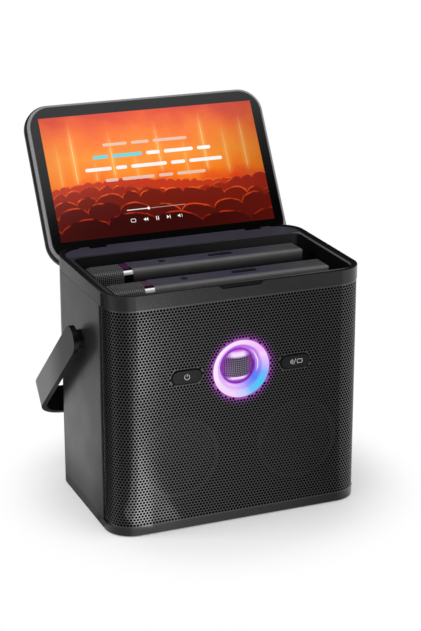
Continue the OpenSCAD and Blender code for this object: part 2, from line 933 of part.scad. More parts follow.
module socket_shapes(grow) {
    translate([-1.5 * socket_pitch, 0]) circle(d = jack_dia + 2 * grow);
    translate([-0.5 * socket_pitch, 0]) circle(d = line_dia + 2 * grow);
    for (i = [0.5, 1.5])
        translate([i * socket_pitch, 0]) pill(data_w + 2 * grow, data_h + 2 * grow);
}

module io_panel() {
    color("#1c1c1e") translate([0, 0, io_z]) difference() {
        facing_front(back_y - wall_t, back_y) square([io_w, io_h], center = true);
        facing_front(back_y - wall_t - 1, back_y + 1) socket_shapes(0);
    }
}

module io_sockets() {
    color("#8d8d92") translate([0, 0, io_z]) difference() {
        for (i = [-1.5 : 1 : 1.5])
            translate([i * socket_pitch, 0, 0])
                facing_front(back_y - wall_t - socket_depth, back_y - wall_t)
                    square([socket_w, socket_h], center = true);
        facing_front(back_y - wall_t - socket_depth + wall_t, back_y) socket_shapes(0);
    }
}

// ---------------------------------------------------------------- hinges

bracket_top_z = slot_z - 4;

module hinge_bracket(x) {
    cheek_x = slot_w / 2;
    wall_y = back_y - wall_t;
    color("#6e7278") translate([x, 0, 0]) difference() {
        union() {
            translate([-cheek_x - cheek_t, wall_y - bracket_t, bracket_top_z - bracket_h])
                cube([2 * (cheek_x + cheek_t), bracket_t, bracket_h]);
            for (s = [-cheek_x - cheek_t, cheek_x]) {
                translate([s, hinge_y - knuckle_r, bracket_top_z - bracket_h / 2])
                    cube([cheek_t, wall_y - hinge_y + knuckle_r, hinge_z - bracket_top_z + bracket_h / 2]);
                translate([s, hinge_y, hinge_z]) rotate([0, 90, 0])
                    cylinder(h = cheek_t, r = knuckle_r);
            }
        }
        translate([0, hinge_y, hinge_z]) rotate([0, 90, 0])
            cylinder(h = body_w, d = pin_dia + 2 * pin_gap, center = true);
    }
}

module left_hinge_bracket() {
    hinge_bracket(-hinge_x);
}

module right_hinge_bracket() {
    hinge_bracket(hinge_x);
}

module hinge_pins() {
    color("#c8ccd0") for (x = [-1, 1])
        translate([x * hinge_x, hinge_y, hinge_z]) rotate([0, 90, 0])
            cylinder(h = slot_w + 2 * cheek_t, d = pin_dia, center = true);
}

// ---------------------------------------------------------------- display lid

// The lid's own frame: X along the axis, Y up the screen, Z out of the glass, the axis at the origin
module at_lid() {
    translate([0, hinge_y, hinge_z]) rotate([180 - lid_open, 0, 0]) children();
}

// The outline of the closed lid is the outline of the body
module lid_outline(inset = 0) {
    translate([0, hinge_y]) body_outline(inset);
}

// A slab with the outline of the body whose edge has the profile that is given as a child:
// X runs outwards from the middle of a corner, Y across the slab
module edged_slab(z0, z1) {
    core_w = body_w - 2 * corner_r;
    core_d = body_d - 2 * corner_r;
    translate([0, hinge_y, 0]) {
        translate([-core_w / 2, -core_d / 2, z0]) cube([core_w, core_d, z1 - z0]);
        for (x = [-1, 1], y = [-1, 1])
            translate([x * core_w / 2, y * core_d / 2, 0]) rotate_extrude() children();
        for (turn = [0, 180])
            rotate([0, 0, turn]) {
                translate([0, core_d / 2, 0]) rotate([90, 0, 90])
                    linear_extrude(core_w, center = true) children();
                translate([core_w / 2, 0, 0]) rotate([90, 0, 0])
                    linear_extrude(core_d, center = true) children();
            }
    }
}

module glass_outline(inset = 0) {
    top_y = hinge_y + back_y - bevel_w - inset;
    foot_y = glass_foot + inset;
    half = side_x - bevel_w - inset;
    top_r = corner_r - bevel_w - inset;
    union() {
        translate([-half + top_r, foot_y]) square([2 * (half - top_r), top_y - foot_y]);
        translate([-half, foot_y + glass_foot_r]) square([2 * half, top_y - top_r - foot_y - glass_foot_r]);
        for (s = [-1, 1]) {
            translate([s * (half - top_r), top_y - top_r]) circle(top_r);
            translate([s * (half - glass_foot_r), foot_y + glass_foot_r]) circle(glass_foot_r);
            translate([s * (half - (glass_foot_r + top_r) / 2), foot_y + glass_foot_r / 2])
                square([top_r - glass_foot_r, glass_foot_r], center = true);
        }
    }
}

module arm_slots(deep) {
    for (x = [-1, 1])
        translate([x * hinge_x - slot_w / 2, -arm_t / 2 - side_gap, lid_front - deep])
            cube([slot_w, arm_t + 2 * side_gap, deep + 1]);
}

module lid_frame() {
    color("#6b6b6e") at_lid() difference() {
        edged_slab(lid_parting, lid_front) polygon([
            [0, lid_parting], [corner_r, lid_parting], [corner_r, lid_front - bevel_h],
            [corner_r - bevel_w, lid_front], [0, lid_front],
        ]);
        translate([0, 0, lid_front - glass_t]) linear_extrude(glass_t + 1) glass_outline(-fit_gap);
        translate([0, 0, lid_parting - 1]) linear_extrude(frame_h + 2) glass_outline(glass_ledge);
        translate([0, 0, lid_parting - 1]) linear_extrude(frame_h + 1 - web_t) lid_outline(wall_t + bevel_w);
        arm_slots(frame_h);
    }
}

module lid_back() {
    color("#5b5b5e") at_lid() difference() {
        edged_slab(lid_rear, lid_parting) {
            translate([0, lid_rear]) square([corner_r - back_r, lid_parting - lid_rear]);
            translate([0, lid_rear + back_r]) square([corner_r, lid_parting - lid_rear - back_r]);
            intersection() {
                translate([corner_r - back_r, lid_rear + back_r]) circle(back_r);
                translate([0, lid_rear]) square([corner_r, back_r]);
            }
        }
        translate([0, 0, lid_rear + wall_t]) linear_extrude(lid_t) lid_outline(wall_t + bevel_w);
        arm_slots(lid_t - wall_t);
    }
}

module lid_glass() {
    color("#08080a") at_lid() translate([0, 0, lid_front - glass_t])
        linear_extrude(glass_t) glass_outline();
}

module display_panel() {
    color("#c9562a") at_lid()
        translate([-screen_w / 2 - panel_border, screen_foot - panel_border, lid_front - glass_t - panel_t])
            cube([screen_w + 2 * panel_border, screen_h + 2 * panel_border, panel_t]);
}

module display_board() {
    color("#1f5a34") at_lid()
        translate([-driver_w / 2, screen_foot + screen_h / 2 - driver_h / 2,
                   lid_front - glass_t - panel_t - board_t])
            cube([driver_w, driver_h, board_t]);
}

module hinge_arm(x) {
    arm_root = lid_rear + wall_t;
    color("#6e7278") at_lid() translate([x, 0, 0]) difference() {
        union() {
            rotate([0, 90, 0]) cylinder(h = arm_w, r = knuckle_r, center = true);
            translate([-arm_w / 2, -arm_t / 2, arm_root]) cube([arm_w, arm_t, -arm_root]);
            translate([-arm_w / 2, -arm_t / 2, arm_root]) cube([arm_w, arm_t + arm_foot, wall_t]);
        }
        rotate([0, 90, 0]) cylinder(h = body_w, d = pin_dia + 2 * pin_gap, center = true);
    }
}

module left_hinge_arm() {
    hinge_arm(-hinge_x);
}

module right_hinge_arm() {
    hinge_arm(hinge_x);
}

// ---------------------------------------------------------------- handle

// The handle's own frame: X along the axis, Y along the arms, the axis at the origin
module at_handle() {
    translate([0, pivot_y, pivot_z]) rotate([-strap_drop, 0, 0]) children();
}

module strap_plan(half, end_y, r) {
    translate([-half, -strap_w]) square([2 * half, end_y - r + strap_w]);
    translate([-half + r, 0]) square([2 * (half - r), end_y]);
    for (s = [-1, 1])
        translate([s * (half - r), end_y - r]) circle(r);
}

module handle_strap() {
    color("#4a4a4c") at_handle() difference() {
        intersection() {
            translate([0, 0, -strap_w / 2]) linear_extrude(strap_w) difference() {
                strap_plan(strap_out, strap_reach, strap_r);
                strap_plan(strap_in, strap_reach - strap_t, strap_r - strap_t);
            }
            rotate([90, 0, 90]) translate([0, 0, -body_w]) linear_extrude(2 * body_w) {
                circle(strap_w / 2);
                translate([0, -strap_w / 2]) square([strap_reach + 1, strap_w]);
            }
        }
        for (s = [-1, 1])
            translate([s * (strap_in + hub_bore / 2), 0, 0]) rotate([0, 90, 0])
                cylinder(h = hub_bore + eps, d = hub_pin_dia + 2 * pin_gap, center = true);
    }
}

module hub_profile() {
    groove = 0.8;
    steps = (strap_gap - rest_gap) / 5;
    polygon([
        [0, -wall_t - shank_len], [shank_dia / 2, -wall_t - shank_len], [shank_dia / 2, 0],
        [hub_dia / 2, 0], [hub_dia / 2, steps], [hub_dia / 2 - groove, steps],
        [hub_dia / 2 - groove, 2 * steps], [hub_dia / 2, 2 * steps],
        [hub_dia / 2, 3 * steps], [hub_dia / 2 - groove, 3 * steps],
        [hub_dia / 2 - groove, 4 * steps], [hub_dia / 2, 4 * steps],
        [hub_dia / 2, 5 * steps], [hub_pin_dia / 2, 5 * steps],
        [hub_pin_dia / 2, strap_gap + hub_bore - rest_gap], [0, strap_gap + hub_bore - rest_gap],
    ]);
}

module handle_hubs() {
    color("#242426") for (s = [-1, 1])
        translate([s * side_x, pivot_y, pivot_z]) rotate([0, s * 90, 0]) rotate_extrude() hub_profile();
}

module hub_nuts() {
    color("#9a9ea3") for (s = [-1, 1])
        translate([s * (side_x - wall_t - nut_t / 2), pivot_y, pivot_z]) rotate([0, 90, 0]) difference() {
            cylinder(h = nut_t, d = nut_dia, $fn = 6, center = true);
            cylinder(h = nut_t + 1, d = shank_dia + 2 * fit_gap, center = true);
        }
}

// ---------------------------------------------------------------- microphones

// A bar along X with a rounded section, from x0 to x1
module bar(x0, x1, w, h, r) {
    translate([x0, 0, 0]) rotate([90, 0, 90]) linear_extrude(x1 - x0) rounded_outline(w, h, r);
}

module at_mic(y) {
    translate([0, y, mic_axis_z]) children();
}

// The barrel seen along one of its short sides, with its far end round
module barrel_outline(width, inset) {
    translate([collar_x, 0])
        rounded_outline(2 * (barrel_len - inset), width - 2 * inset, tail_r - inset);
}

module barrel_shape(inset) {
    intersection() {
        bar(collar_x - inset, tail_x, mic_w - 2 * inset, mic_h - 2 * inset, mic_r - inset);
        translate([0, 0, -mic_h]) linear_extrude(2 * mic_h) barrel_outline(mic_w, inset);
        rotate([90, 0, 0]) translate([0, 0, -mic_w]) linear_extrude(2 * mic_w)
            barrel_outline(mic_h, inset);
    }
}

// Thicker wall under the button and the rocker
module control_pad() {
    pad_x0 = collar_x + mic_button_at - mic_button_dia;
    pad_x1 = collar_x + rocker_at + rocker_len / 2 + mic_wall;
    pad_w = mic_button_dia + 2 * mic_wall;
    pad_t = control_pocket + pocket_floor;
    translate([pad_x0, -pad_w / 2, mic_h / 2 - pad_t]) cube([pad_x1 - pad_x0, pad_w, pad_t]);
}

module mic_barrel(y) {
    color("#454549") at_mic(y) difference() {
        barrel_shape(0);
        difference() {
            barrel_shape(mic_wall);
            control_pad();
        }
        translate([collar_x + mic_button_at, 0, mic_h / 2 - control_pocket])
            cylinder(h = control_pocket + 1, d = mic_button_dia + 2 * rest_gap);
        translate([collar_x + rocker_at, 0, mic_h / 2 - control_pocket]) linear_extrude(control_pocket + 1)
            pill(rocker_len + 2 * rest_gap, rocker_w + 2 * rest_gap);
    }
}

module head_shape(inset) {
    half = mic_w / 2 - inset;
    intersection() {
        bar(tip_x + inset, head_x, 2 * half, mic_h - 2 * inset, head_r - inset);
        translate([0, 0, -mic_h]) linear_extrude(2 * mic_h) translate([head_x, 0])
            rounded_outline(2 * (head_len - inset), 2 * half, tip_r - inset);
        rotate([90, 0, 0]) translate([0, 0, -mic_w]) linear_extrude(2 * mic_w) translate([head_x, 0])
            rounded_outline(2 * (head_len - inset), mic_h - 2 * inset, tip_r - inset);
    }
}

module mic_head(y) {
    color("#1a1a1c") at_mic(y) difference() {
        head_shape(0);
        difference() {
            head_shape(mic_wall);
            translate([head_x - 3, -mic_w, -mic_h]) cube([3 + eps, 2 * mic_w, 2 * mic_h]);
        }
    }
}

module mic_collar(y) {
    color("#cfcfd4") at_mic(y) difference() {
        bar(head_x, collar_x, mic_w - 1, mic_h - 1, mic_r);
        translate([head_x - 1, 0, 0]) rotate([0, 90, 0]) cylinder(h = collar_len + 2, d = capsule_dia);
    }
}

module mic_capsule(y) {
    color("#b08a3e") at_mic(y) translate([head_x - 3 - capsule_len, 0, 0]) rotate([0, 90, 0])
        cylinder(h = capsule_len, d = capsule_dia);
}

module mic_button(y) {
    color("#2c2c2e") at_mic(y)
        translate([collar_x + mic_button_at, 0, mic_h / 2 - control_pocket + control_room])
            cylinder(h = control_pocket - control_room + control_rise, d = mic_button_dia);
}

module mic_rocker(y) {
    color("#2c2c2e") at_mic(y)
        translate([collar_x + rocker_at, 0, mic_h / 2 - control_pocket + control_room])
            linear_extrude(control_pocket - control_room + control_rise) pill(rocker_len, rocker_w);
}

module front_mic_barrel() {
    mic_barrel(mic_front_y);
}

module front_mic_head() {
    mic_head(mic_front_y);
}

module front_mic_collar() {
    mic_collar(mic_front_y);
}

module front_mic_capsule() {
    mic_capsule(mic_front_y);
}

module front_mic_button() {
    mic_button(mic_front_y);
}

module front_mic_rocker() {
    mic_rocker(mic_front_y);
}

module rear_mic_barrel() {
    mic_barrel(mic_rear_y);
}

module rear_mic_head() {
    mic_head(mic_rear_y);
}

module rear_mic_collar() {
    mic_collar(mic_rear_y);
}

module rear_mic_capsule() {
    mic_capsule(mic_rear_y);
}

module rear_mic_button() {
    mic_button(mic_rear_y);
}

module rear_mic_rocker() {
    mic_rocker(mic_rear_y);
}

cabinet_shell();
front_baffle();
front_grille();
top_frame();
rim_gasket();
hinge_cover();
mic_bay_tray();
charge_contacts();
base_plate();
foot_ring();
horn_flare();
led_ring_board();
horn_bezel();
tweeter_grille();
tweeter_motor();
left_woofer_frame();
left_woofer_surround();
left_woofer_cone();
left_woofer_magnet();
right_woofer_frame();
right_woofer_surround();
right_woofer_cone();
right_woofer_magnet();
woofer_screws();
base_screws();
main_board();
heat_sink();
battery_pack();
button_boards();
io_panel();
io_sockets();
left_hinge_bracket();
right_hinge_bracket();
hinge_pins();
handle_hubs();
hub_nuts();
power_button();
link_button();
lid_frame();
lid_back();
lid_glass();
display_panel();
display_board();
left_hinge_arm();
right_hinge_arm();
handle_strap();
front_mic_barrel();
front_mic_head();
front_mic_collar();
front_mic_capsule();
front_mic_button();
front_mic_rocker();
rear_mic_barrel();
rear_mic_head();
rear_mic_collar();
rear_mic_capsule();
rear_mic_button();
rear_mic_rocker();
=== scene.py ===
import math

import bmesh
import bpy
from mathutils import Matrix, Vector


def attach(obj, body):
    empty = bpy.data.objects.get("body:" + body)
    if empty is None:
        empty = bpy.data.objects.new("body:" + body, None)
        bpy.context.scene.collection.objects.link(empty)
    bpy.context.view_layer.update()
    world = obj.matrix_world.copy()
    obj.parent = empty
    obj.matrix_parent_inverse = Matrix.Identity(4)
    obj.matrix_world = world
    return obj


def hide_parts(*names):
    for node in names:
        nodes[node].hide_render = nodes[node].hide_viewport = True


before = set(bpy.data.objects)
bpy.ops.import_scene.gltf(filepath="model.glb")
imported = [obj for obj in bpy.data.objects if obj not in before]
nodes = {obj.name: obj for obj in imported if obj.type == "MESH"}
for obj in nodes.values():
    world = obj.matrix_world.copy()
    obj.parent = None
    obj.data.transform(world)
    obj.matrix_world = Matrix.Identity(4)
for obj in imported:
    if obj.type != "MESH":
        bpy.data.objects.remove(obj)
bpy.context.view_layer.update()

scene = bpy.context.scene
print("frame loaded,", len(nodes), "nodes")

# the outside of the console in metres: the front is flat as far as flatHalf, and the middle of the horn is at hornZ
console = {"halfWidth": 0.174, "frontY": -0.1145, "flatHalf": 0.138, "cornerRadius": 0.036, "hornZ": 0.208}


# ---- small tools

def deselectAll():
    if bpy.context.object and bpy.context.object.mode != "OBJECT":
        bpy.ops.object.mode_set(mode="OBJECT")
    bpy.ops.object.select_all(action="DESELECT")


def pick(piece):
    deselectAll()
    piece.select_set(True)
    bpy.context.view_layer.objects.active = piece


def editAll(piece):
    pick(piece)
    bpy.ops.object.mode_set(mode="EDIT")
    bpy.ops.mesh.select_all(action="SELECT")


def leaveEdit():
    bpy.ops.object.mode_set(mode="OBJECT")


def applyModifier(piece, kind, **settings):
    pick(piece)
    modifier = piece.modifiers.new("step", kind)
    for key, value in settings.items():
        setattr(modifier, key, value)
    bpy.ops.object.modifier_apply(modifier="step")


def smoothByAngle(piece, degrees):
    pick(piece)
    bpy.ops.object.shade_smooth_by_angle(angle=math.radians(degrees))


def paint(piece, material):
    piece.data.materials.clear()
    piece.data.materials.append(material)


def dress(piece, body, slotName, material, *replaced):
    pick(piece)
    bpy.ops.object.transform_apply(location=True, rotation=True, scale=True)
    paint(piece, material)
    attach(piece, body)
    if replaced:
        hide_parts(*replaced)


def meshPiece(name, points, faces):
    mesh = bpy.data.meshes.new(name)
    mesh.from_pydata(points, [], faces)
    mesh.update()
    piece = bpy.data.objects.new(name, mesh)
    scene.collection.objects.link(piece)
    return piece


soft = {"mergeWithin": 0.00001, "flatWithin": 0.4, "edgeAngle": 40, "normalWeight": 60}


# A copy of a CAD node, merged, with small rounded edges
def softenedCopy(nodeName, pieceName, edgeWidth, steps=3):
    piece = bpy.data.objects.new(pieceName, nodes[nodeName].data.copy())
    scene.collection.objects.link(piece)
    pick(piece)
    bpy.ops.mesh.customdata_custom_splitnormals_clear()
    editAll(piece)
    bpy.ops.mesh.remove_doubles(threshold=soft["mergeWithin"])
    bpy.ops.mesh.dissolve_limited(angle_limit=math.radians(soft["flatWithin"]))
    bpy.ops.mesh.quads_convert_to_tris(quad_method="BEAUTY", ngon_method="BEAUTY")
    leaveEdit()
    if edgeWidth:
        applyModifier(piece, "BEVEL", width=edgeWidth, segments=steps, limit_method="ANGLE",
                      angle_limit=math.radians(soft["edgeAngle"]), use_clamp_overlap=True,
                      harden_normals=False)
    smoothByAngle(piece, soft["edgeAngle"])
    applyModifier(piece, "WEIGHTED_NORMAL", keep_sharp=True, weight=soft["normalWeight"])
    return piece


# ---- material tools

white = (1, 1, 1)
# nearly all of a noise lies between these
noiseLow, noiseHigh = 0.3, 0.7


def isSocket(value):
    return isinstance(value, bpy.types.NodeSocket)


# A socket is linked to the node's input, anything else becomes the input's constant
def feed(node, inputs):
    for name, value in inputs.items():
        if isSocket(value):
            node.id_data.links.new(value, node.inputs[name])
        else:
            node.inputs[name].default_value = value


def put(tree, kind, inputs=None, **settings):
    node = tree.nodes.new("ShaderNode" + kind)
    for key, value in settings.items():
        setattr(node, key, value)
    feed(node, inputs or {})
    return node


# A new material with its shader and the places on the object
def newMaterial(name):
    material = bpy.data.materials.new(name)
    material.use_nodes = True
    tree = material.node_tree
    return material, tree.nodes["Principled BSDF"], put(tree, "TexCoord").outputs["Object"]


# The node tree that the sockets among these values belong to
def treeOf(*values):
    return next(value.id_data for value in values if isSocket(value))


def calc(operation, *values, clamp=False):
    return put(treeOf(*values), "Math", dict(enumerate(values)), operation=operation, use_clamp=clamp).outputs[0]


def plus(first, second):
    return calc("ADD", first, second)


def minus(first, second):
    return calc("SUBTRACT", first, second)


def times(product, *others):
    for other in others:
        product = calc("MULTIPLY", product, other)
    return product


def over(first, second):
    return calc("DIVIDE", first, second)


def absolute(value):
    return calc("ABSOLUTE", value)


# How far a value lies from a middle, on either side
def off(value, middle):
    return absolute(minus(value, middle))


def vector(operation, *values):
    node = put(treeOf(*values), "VectorMath", dict(enumerate(values)), operation=operation)
    return node.outputs["Value" if operation in ("LENGTH", "DOT_PRODUCT") else "Vector"]


def scaled(colour, share):
    return put(share.id_data, "VectorMath", {0: colour, "Scale": share}, operation="SCALE").outputs[0]


def split(value):
    return put(value.id_data, "SeparateXYZ", {0: value}).outputs


def joined(x, y, z=0.0):
    return put(treeOf(x, y, z), "CombineXYZ", {0: x, 1: y, 2: z}).outputs[0]


# The way the surface faces, as x, y and z
def facing(place):
    return split(put(place.id_data, "NewGeometry").outputs["Normal"])


def spread(value, low, high, first=0.0, last=1.0):
    return put(value.id_data, "MapRange", {0: value, 1: low, 2: high, 3: first, 4: last}).outputs[0]


def stepUp(value, low, high):
    return put(value.id_data, "MapRange", {0: value, 1: low, 2: high}, interpolation_type="SMOOTHSTEP").outputs[0]


def ramp(value, stops):
    node = put(value.id_data, "ValToRGB", {0: value})
    points = node.color_ramp.elements
    while len(points) < len(stops):
        points.new(0.5)
    for point, (position, colour) in zip(points, stops):
        point.position = position
        point.color = (*colour, 1.0)
    return node.outputs[0]


def mixColour(share, low, high):
    low, high = (value if isSocket(value) else (*value, 1.0) for value in (low, high))
    return put(treeOf(share, low, high), "Mix", {0: share, 6: low, 7: high},
               data_type="RGBA", clamp_factor=True).outputs[2]


def noise(place, scale, detail=2.0):
    return put(place.id_data, "TexNoise", {"Vector": place, "Scale": scale, "Detail": detail}).outputs["Fac"]


# A value that drifts a little to both sides of its middle
def clouds(place, scale, middle, reach, detail=4.0):
    return spread(noise(place, scale, detail), noiseLow, noiseHigh, middle - reach, middle + reach)


def bumped(height, depth, distance=0.0002):
    return put(height.id_data, "Bump", {"Strength": depth, "Distance": distance, "Height": height}).outputs[0]


# A tint with the slight cloudiness and the fine grain of moulded plastic
def satin(surface, place, tint, roughness, cloud=0.07, scale=24.0, depth=0.1, perMetre=1400.0):
    feed(surface, {"Base Color": scaled(tint, clouds(place, scale, 1.0, cloud)),
                   "Normal": bumped(noise(place, perMetre), depth), "Roughness": roughness})


# One colour, grained and cloudy, with a slight change of gloss
def grained(name, colour, roughness, grain=0.0007, depth=0.1, cloud=0.08, metallic=0.0, specular=0.5):
    material, surface, place = newMaterial(name)
    gloss = clouds(place, 24.0, roughness, 0.03)
    satin(surface, place, colour, gloss, cloud=cloud, depth=depth, perMetre=1 / grain)
    feed(surface, {"Metallic": metallic, "Specular IOR Level": specular})
    return material


# ---- camera, floor and light

camera = {"lens": 103.08286, "place": (-0.84655929, -2.07695978, 1.00953813),
          "right": (0.92511228, -0.3797058, -0.00129248), "up": (0.12394705, 0.29876445, 0.94625333),
          "back": (-0.3589085, -0.8755352, 0.32344843), "sensor": 36, "clipEnd": 40}
bpy.ops.object.camera_add(location=camera["place"])
cameraPiece = bpy.context.object
cameraPiece.name = "camera"
cameraPiece.matrix_world = Matrix.Translation(camera["place"]) @ Matrix(
    (camera["right"], camera["up"], camera["back"])).transposed().to_4x4()
cameraPiece.data.lens = camera["lens"]
cameraPiece.data.sensor_width = camera["sensor"]
cameraPiece.data.clip_end = camera["clipEnd"]
scene.camera = cameraPiece

scene.view_settings.view_transform = "Standard"
studio = {"world": 0.75, "glossWorld": 0.04, "floorSize": 14, "floorColour": 0.93,
          # the matt floor has leastWhite of plain white near the console, and is all white from whiteBeyond on
          "mattWithin": 0.185, "whiteBeyond": 0.30, "leastWhite": 0.20}


def addWorld():
    world = bpy.data.worlds.new("studio")
    scene.world = world
    world.use_nodes = True
    tree = world.node_tree
    tree.nodes.clear()
    rays = put(tree, "LightPath").outputs
    light, mirror, plain = (put(tree, "Background", {"Color": (*white, 1), "Strength": strength}).outputs[0]
                            for strength in (studio["world"], studio["glossWorld"], 1.0))
    seen = calc("MAXIMUM", rays["Is Camera Ray"], rays["Is Transmission Ray"])
    unseen = put(tree, "MixShader", {0: rays["Is Glossy Ray"], 1: light, 2: mirror})
    final = put(tree, "MixShader", {0: seen, 1: unseen.outputs[0], 2: plain})
    put(tree, "OutputWorld", {0: final.outputs[0]})


# What the floor looks like in the gloss of the object: painted light and shade, white with soft darker parts round it,
# seen only in reflections
def floorInGloss(place):
    x, y, _ = split(place)
    eyeX, eyeY = camera["place"][:2]

    def levels(value, low, high, stops):
        return ramp(spread(value, low, high), [((at - low) / (high - low), (level,) * 3) for at, level in stops])

    # where the camera's ray struck an upright face before it came down on this point of the floor
    def struckAt(face, across, eyeAcross, along, eyeAlong):
        share = over(face - eyeAcross, minus(2 * face - eyeAcross, across))
        return plus(times(minus(along, eyeAlong), share), eyeAlong)

    # the bearing from the middle of the front left corner, in degrees
    turn = calc("ARCTAN2", minus(y, console["frontY"] + console["cornerRadius"]), plus(x, console["flatHalf"]))
    bearing = times(turn, 180 / math.pi)
    around = levels(bearing, -180, 180, [
        (-180, 0.67), (-166, 0.62), (-152, 0.45), (-140, 0.42), (-116, 0.44), (-106, 0.85), (-98, 1.0), (20, 1.0),
        (60, 0.3), (88, 0.55), (97, 1.0), (128, 1.0), (142, 0.35), (152, 0.18), (163, 0.24), (176, 0.6), (180, 0.67)])
    # in front the light falls towards the right end, and returns beyond it
    along = struckAt(console["frontY"], y, eyeY, x, eyeX)
    front = levels(along, -0.15, 0.35, [
        (-0.15, 1.0), (-0.103, 1.0), (-0.092, 0.93), (-0.08, 0.86), (-0.06, 0.79), (-0.036, 0.73), (0.008, 0.63),
        (0.052, 0.54), (0.095, 0.42), (0.125, 0.32), (0.140, 0.34), (0.155, 0.55), (0.18, 0.9), (0.35, 1.0)])
    ahead = times(stepUp(bearing, -92.0, -88.0), stepUp(bearing, 40.0, 0.0))
    # beside the left wall it grows with the distance, and ends dark where the wall meets the perforated sheet
    beside = levels(minus(-console["halfWidth"], x), 0.0, 0.25, [
        (0.0, 0.20), (0.03, 0.46), (0.052, 0.84), (0.073, 0.99), (0.095, 1.0), (0.116, 0.95), (0.155, 0.73),
        (0.25, 0.65)])
    wallAt = struckAt(-console["halfWidth"], x, eyeX, y, eyeY)
    beside = vector("MULTIPLY", beside, mixColour(stepUp(wallAt, -0.083, -0.066), (0.10, 0.10, 0.10), white))
    back = times(stepUp(bearing, 86.0, 92.0), stepUp(bearing, 150.0, 138.0))
    light = vector("MULTIPLY", vector("MULTIPLY", around, mixColour(ahead, white, front)),
                   mixColour(back, white, beside))
    return put(light.id_data, "Emission", {"Color": light, "Strength": 1.0}).outputs[0]


def addFloor():
    bpy.ops.mesh.primitive_plane_add(size=studio["floorSize"], location=(0, 0, 0))
    floor = bpy.context.object
    floor.name = "floor"
    material = bpy.data.materials.new("floor")
    material.use_nodes = True
    tree = material.node_tree
    tree.nodes.clear()
    place = put(tree, "TexCoord").outputs["Object"]
    rays = put(tree, "LightPath").outputs
    glow = put(tree, "Emission", {"Color": (*white, 1), "Strength": 1.0})
    matt = put(tree, "BsdfDiffuse", {"Color": (studio["floorColour"],) * 3 + (1,)})
    far = stepUp(vector("LENGTH", place), studio["mattWithin"], studio["whiteBeyond"])
    share = times(rays["Is Camera Ray"], spread(far, 0.0, 1.0, studio["leastWhite"], 1.0))
    plain = put(tree, "MixShader", {0: share, 1: matt.outputs[0], 2: glow.outputs[0]})
    final = put(tree, "MixShader", {0: rays["Is Glossy Ray"], 1: plain.outputs[0], 2: floorInGloss(place)})
    put(tree, "OutputMaterial", {0: final.outputs[0]})
    paint(floor, material)


def addLamp(name, place, target, size, power):
    bpy.ops.object.light_add(type="AREA", location=place)
    lamp = bpy.context.object
    lamp.name = name
    lamp.data.shape = "RECTANGLE"
    lamp.data.size, lamp.data.size_y = size
    lamp.data.energy = power
    lamp.rotation_euler = (Vector(target) - Vector(place)).to_track_quat("-Z", "Y").to_euler()
    lamp.visible_camera = False
    return lamp


addWorld()
addFloor()
# place, target, size, power
lamps = {"keyLamp": ((-2.4, 0.4, 1.9), (0, 0, 0.25), (1.2, 2.0), 34),
         "topLamp": ((0.55, -0.82, 2.3), (0, 0.17, 0.42), (1.6, 1.2), 11)}
for name, (place, target, size, power) in lamps.items():
    addLamp(name, place, target, size, power)
# strips on the floor, mirrored as the upright highlight at the left end of the front: place, size, power, turn
strips = {"nearStrip": ((0.011, -0.546, 0.004), (0.046, 0.872), 0.34, 20.1),
          "farStrip": ((0.080, -0.762, 0.006), (0.062, 0.40), 0.20, 20.1),
          "cornerStrip": ((-0.108, -0.45, 0.005), (0.13, 0.62), 0.42, 6.0)}
for name, (place, size, power, turn) in strips.items():
    strip = addLamp(name, place, (0, 0, 1), size, power)
    strip.rotation_euler = (math.pi, 0, math.radians(turn))
print("camera, floor and lights placed")


# ---- finishes

plainFinishes = {
    # colour, roughness and what differs from moulded plastic
    "cabinet": ((0.016, 0.016, 0.0165), 0.3, {"specular": 1.0}),
    "rim": ((0.007, 0.007, 0.0075), 0.2, {"depth": 0.05}),
    "base": ((0.006, 0.006, 0.0065), 0.22, {"depth": 0.05, "specular": 0.65}),
    "deck": ((0.040, 0.035, 0.054), 0.34, {"specular": 0.3}),
    "lid": ((0.012, 0.012, 0.0125), 0.34, {}),
    "hub": ((0.004, 0.004, 0.0045), 0.35, {}),
    "button": ((0.004, 0.004, 0.0045), 0.35, {"specular": 0.25}),
    "control": ((0.005, 0.0045, 0.006), 0.4, {}),
    "baffle": ((0.003, 0.003, 0.003), 0.8, {"specular": 0.1}),
    "seal": ((0.006, 0.006, 0.006), 0.55, {"grain": 0.0012, "specular": 0.3}),
    "foot": ((0.012, 0.012, 0.012), 0.8, {"grain": 0.0015, "depth": 0.25}),
    "gold": ((0.72, 0.48, 0.16), 0.25, {"depth": 0.05, "metallic": 1.0}),
    "steel": ((0.42, 0.42, 0.43), 0.34, {"depth": 0.08, "metallic": 1.0}),
    "cast": ((0.004, 0.004, 0.004), 0.55, {"grain": 0.0018, "depth": 0.3}),
    "hinge": ((0.035, 0.035, 0.038), 0.42, {"metallic": 0.6}),
    "cone": ((0.003, 0.003, 0.003), 0.85, {"grain": 0.0022, "depth": 0.4}),
    "magnet": ((0.006, 0.006, 0.0065), 0.6, {"grain": 0.0016, "depth": 0.25}),
    "ledBoard": ((0.72, 0.72, 0.68), 0.5, {}),
    "sink": ((0.62, 0.63, 0.65), 0.38, {"depth": 0.12, "metallic": 1.0}),
    "socket": ((0.35, 0.35, 0.36), 0.3, {"metallic": 1.0}),
    "plate": ((0.012, 0.012, 0.013), 0.5, {}),
    "capsule": ((0.5, 0.42, 0.28), 0.35, {"metallic": 1.0}),
    "icon": ((0.42, 0.42, 0.42), 0.5, {"cloud": 0.03, "depth": 0.02}),
}
finishes = {name: grained(name + "Finish", colour, roughness, **others)
            for name, (colour, roughness, others) in plainFinishes.items()}


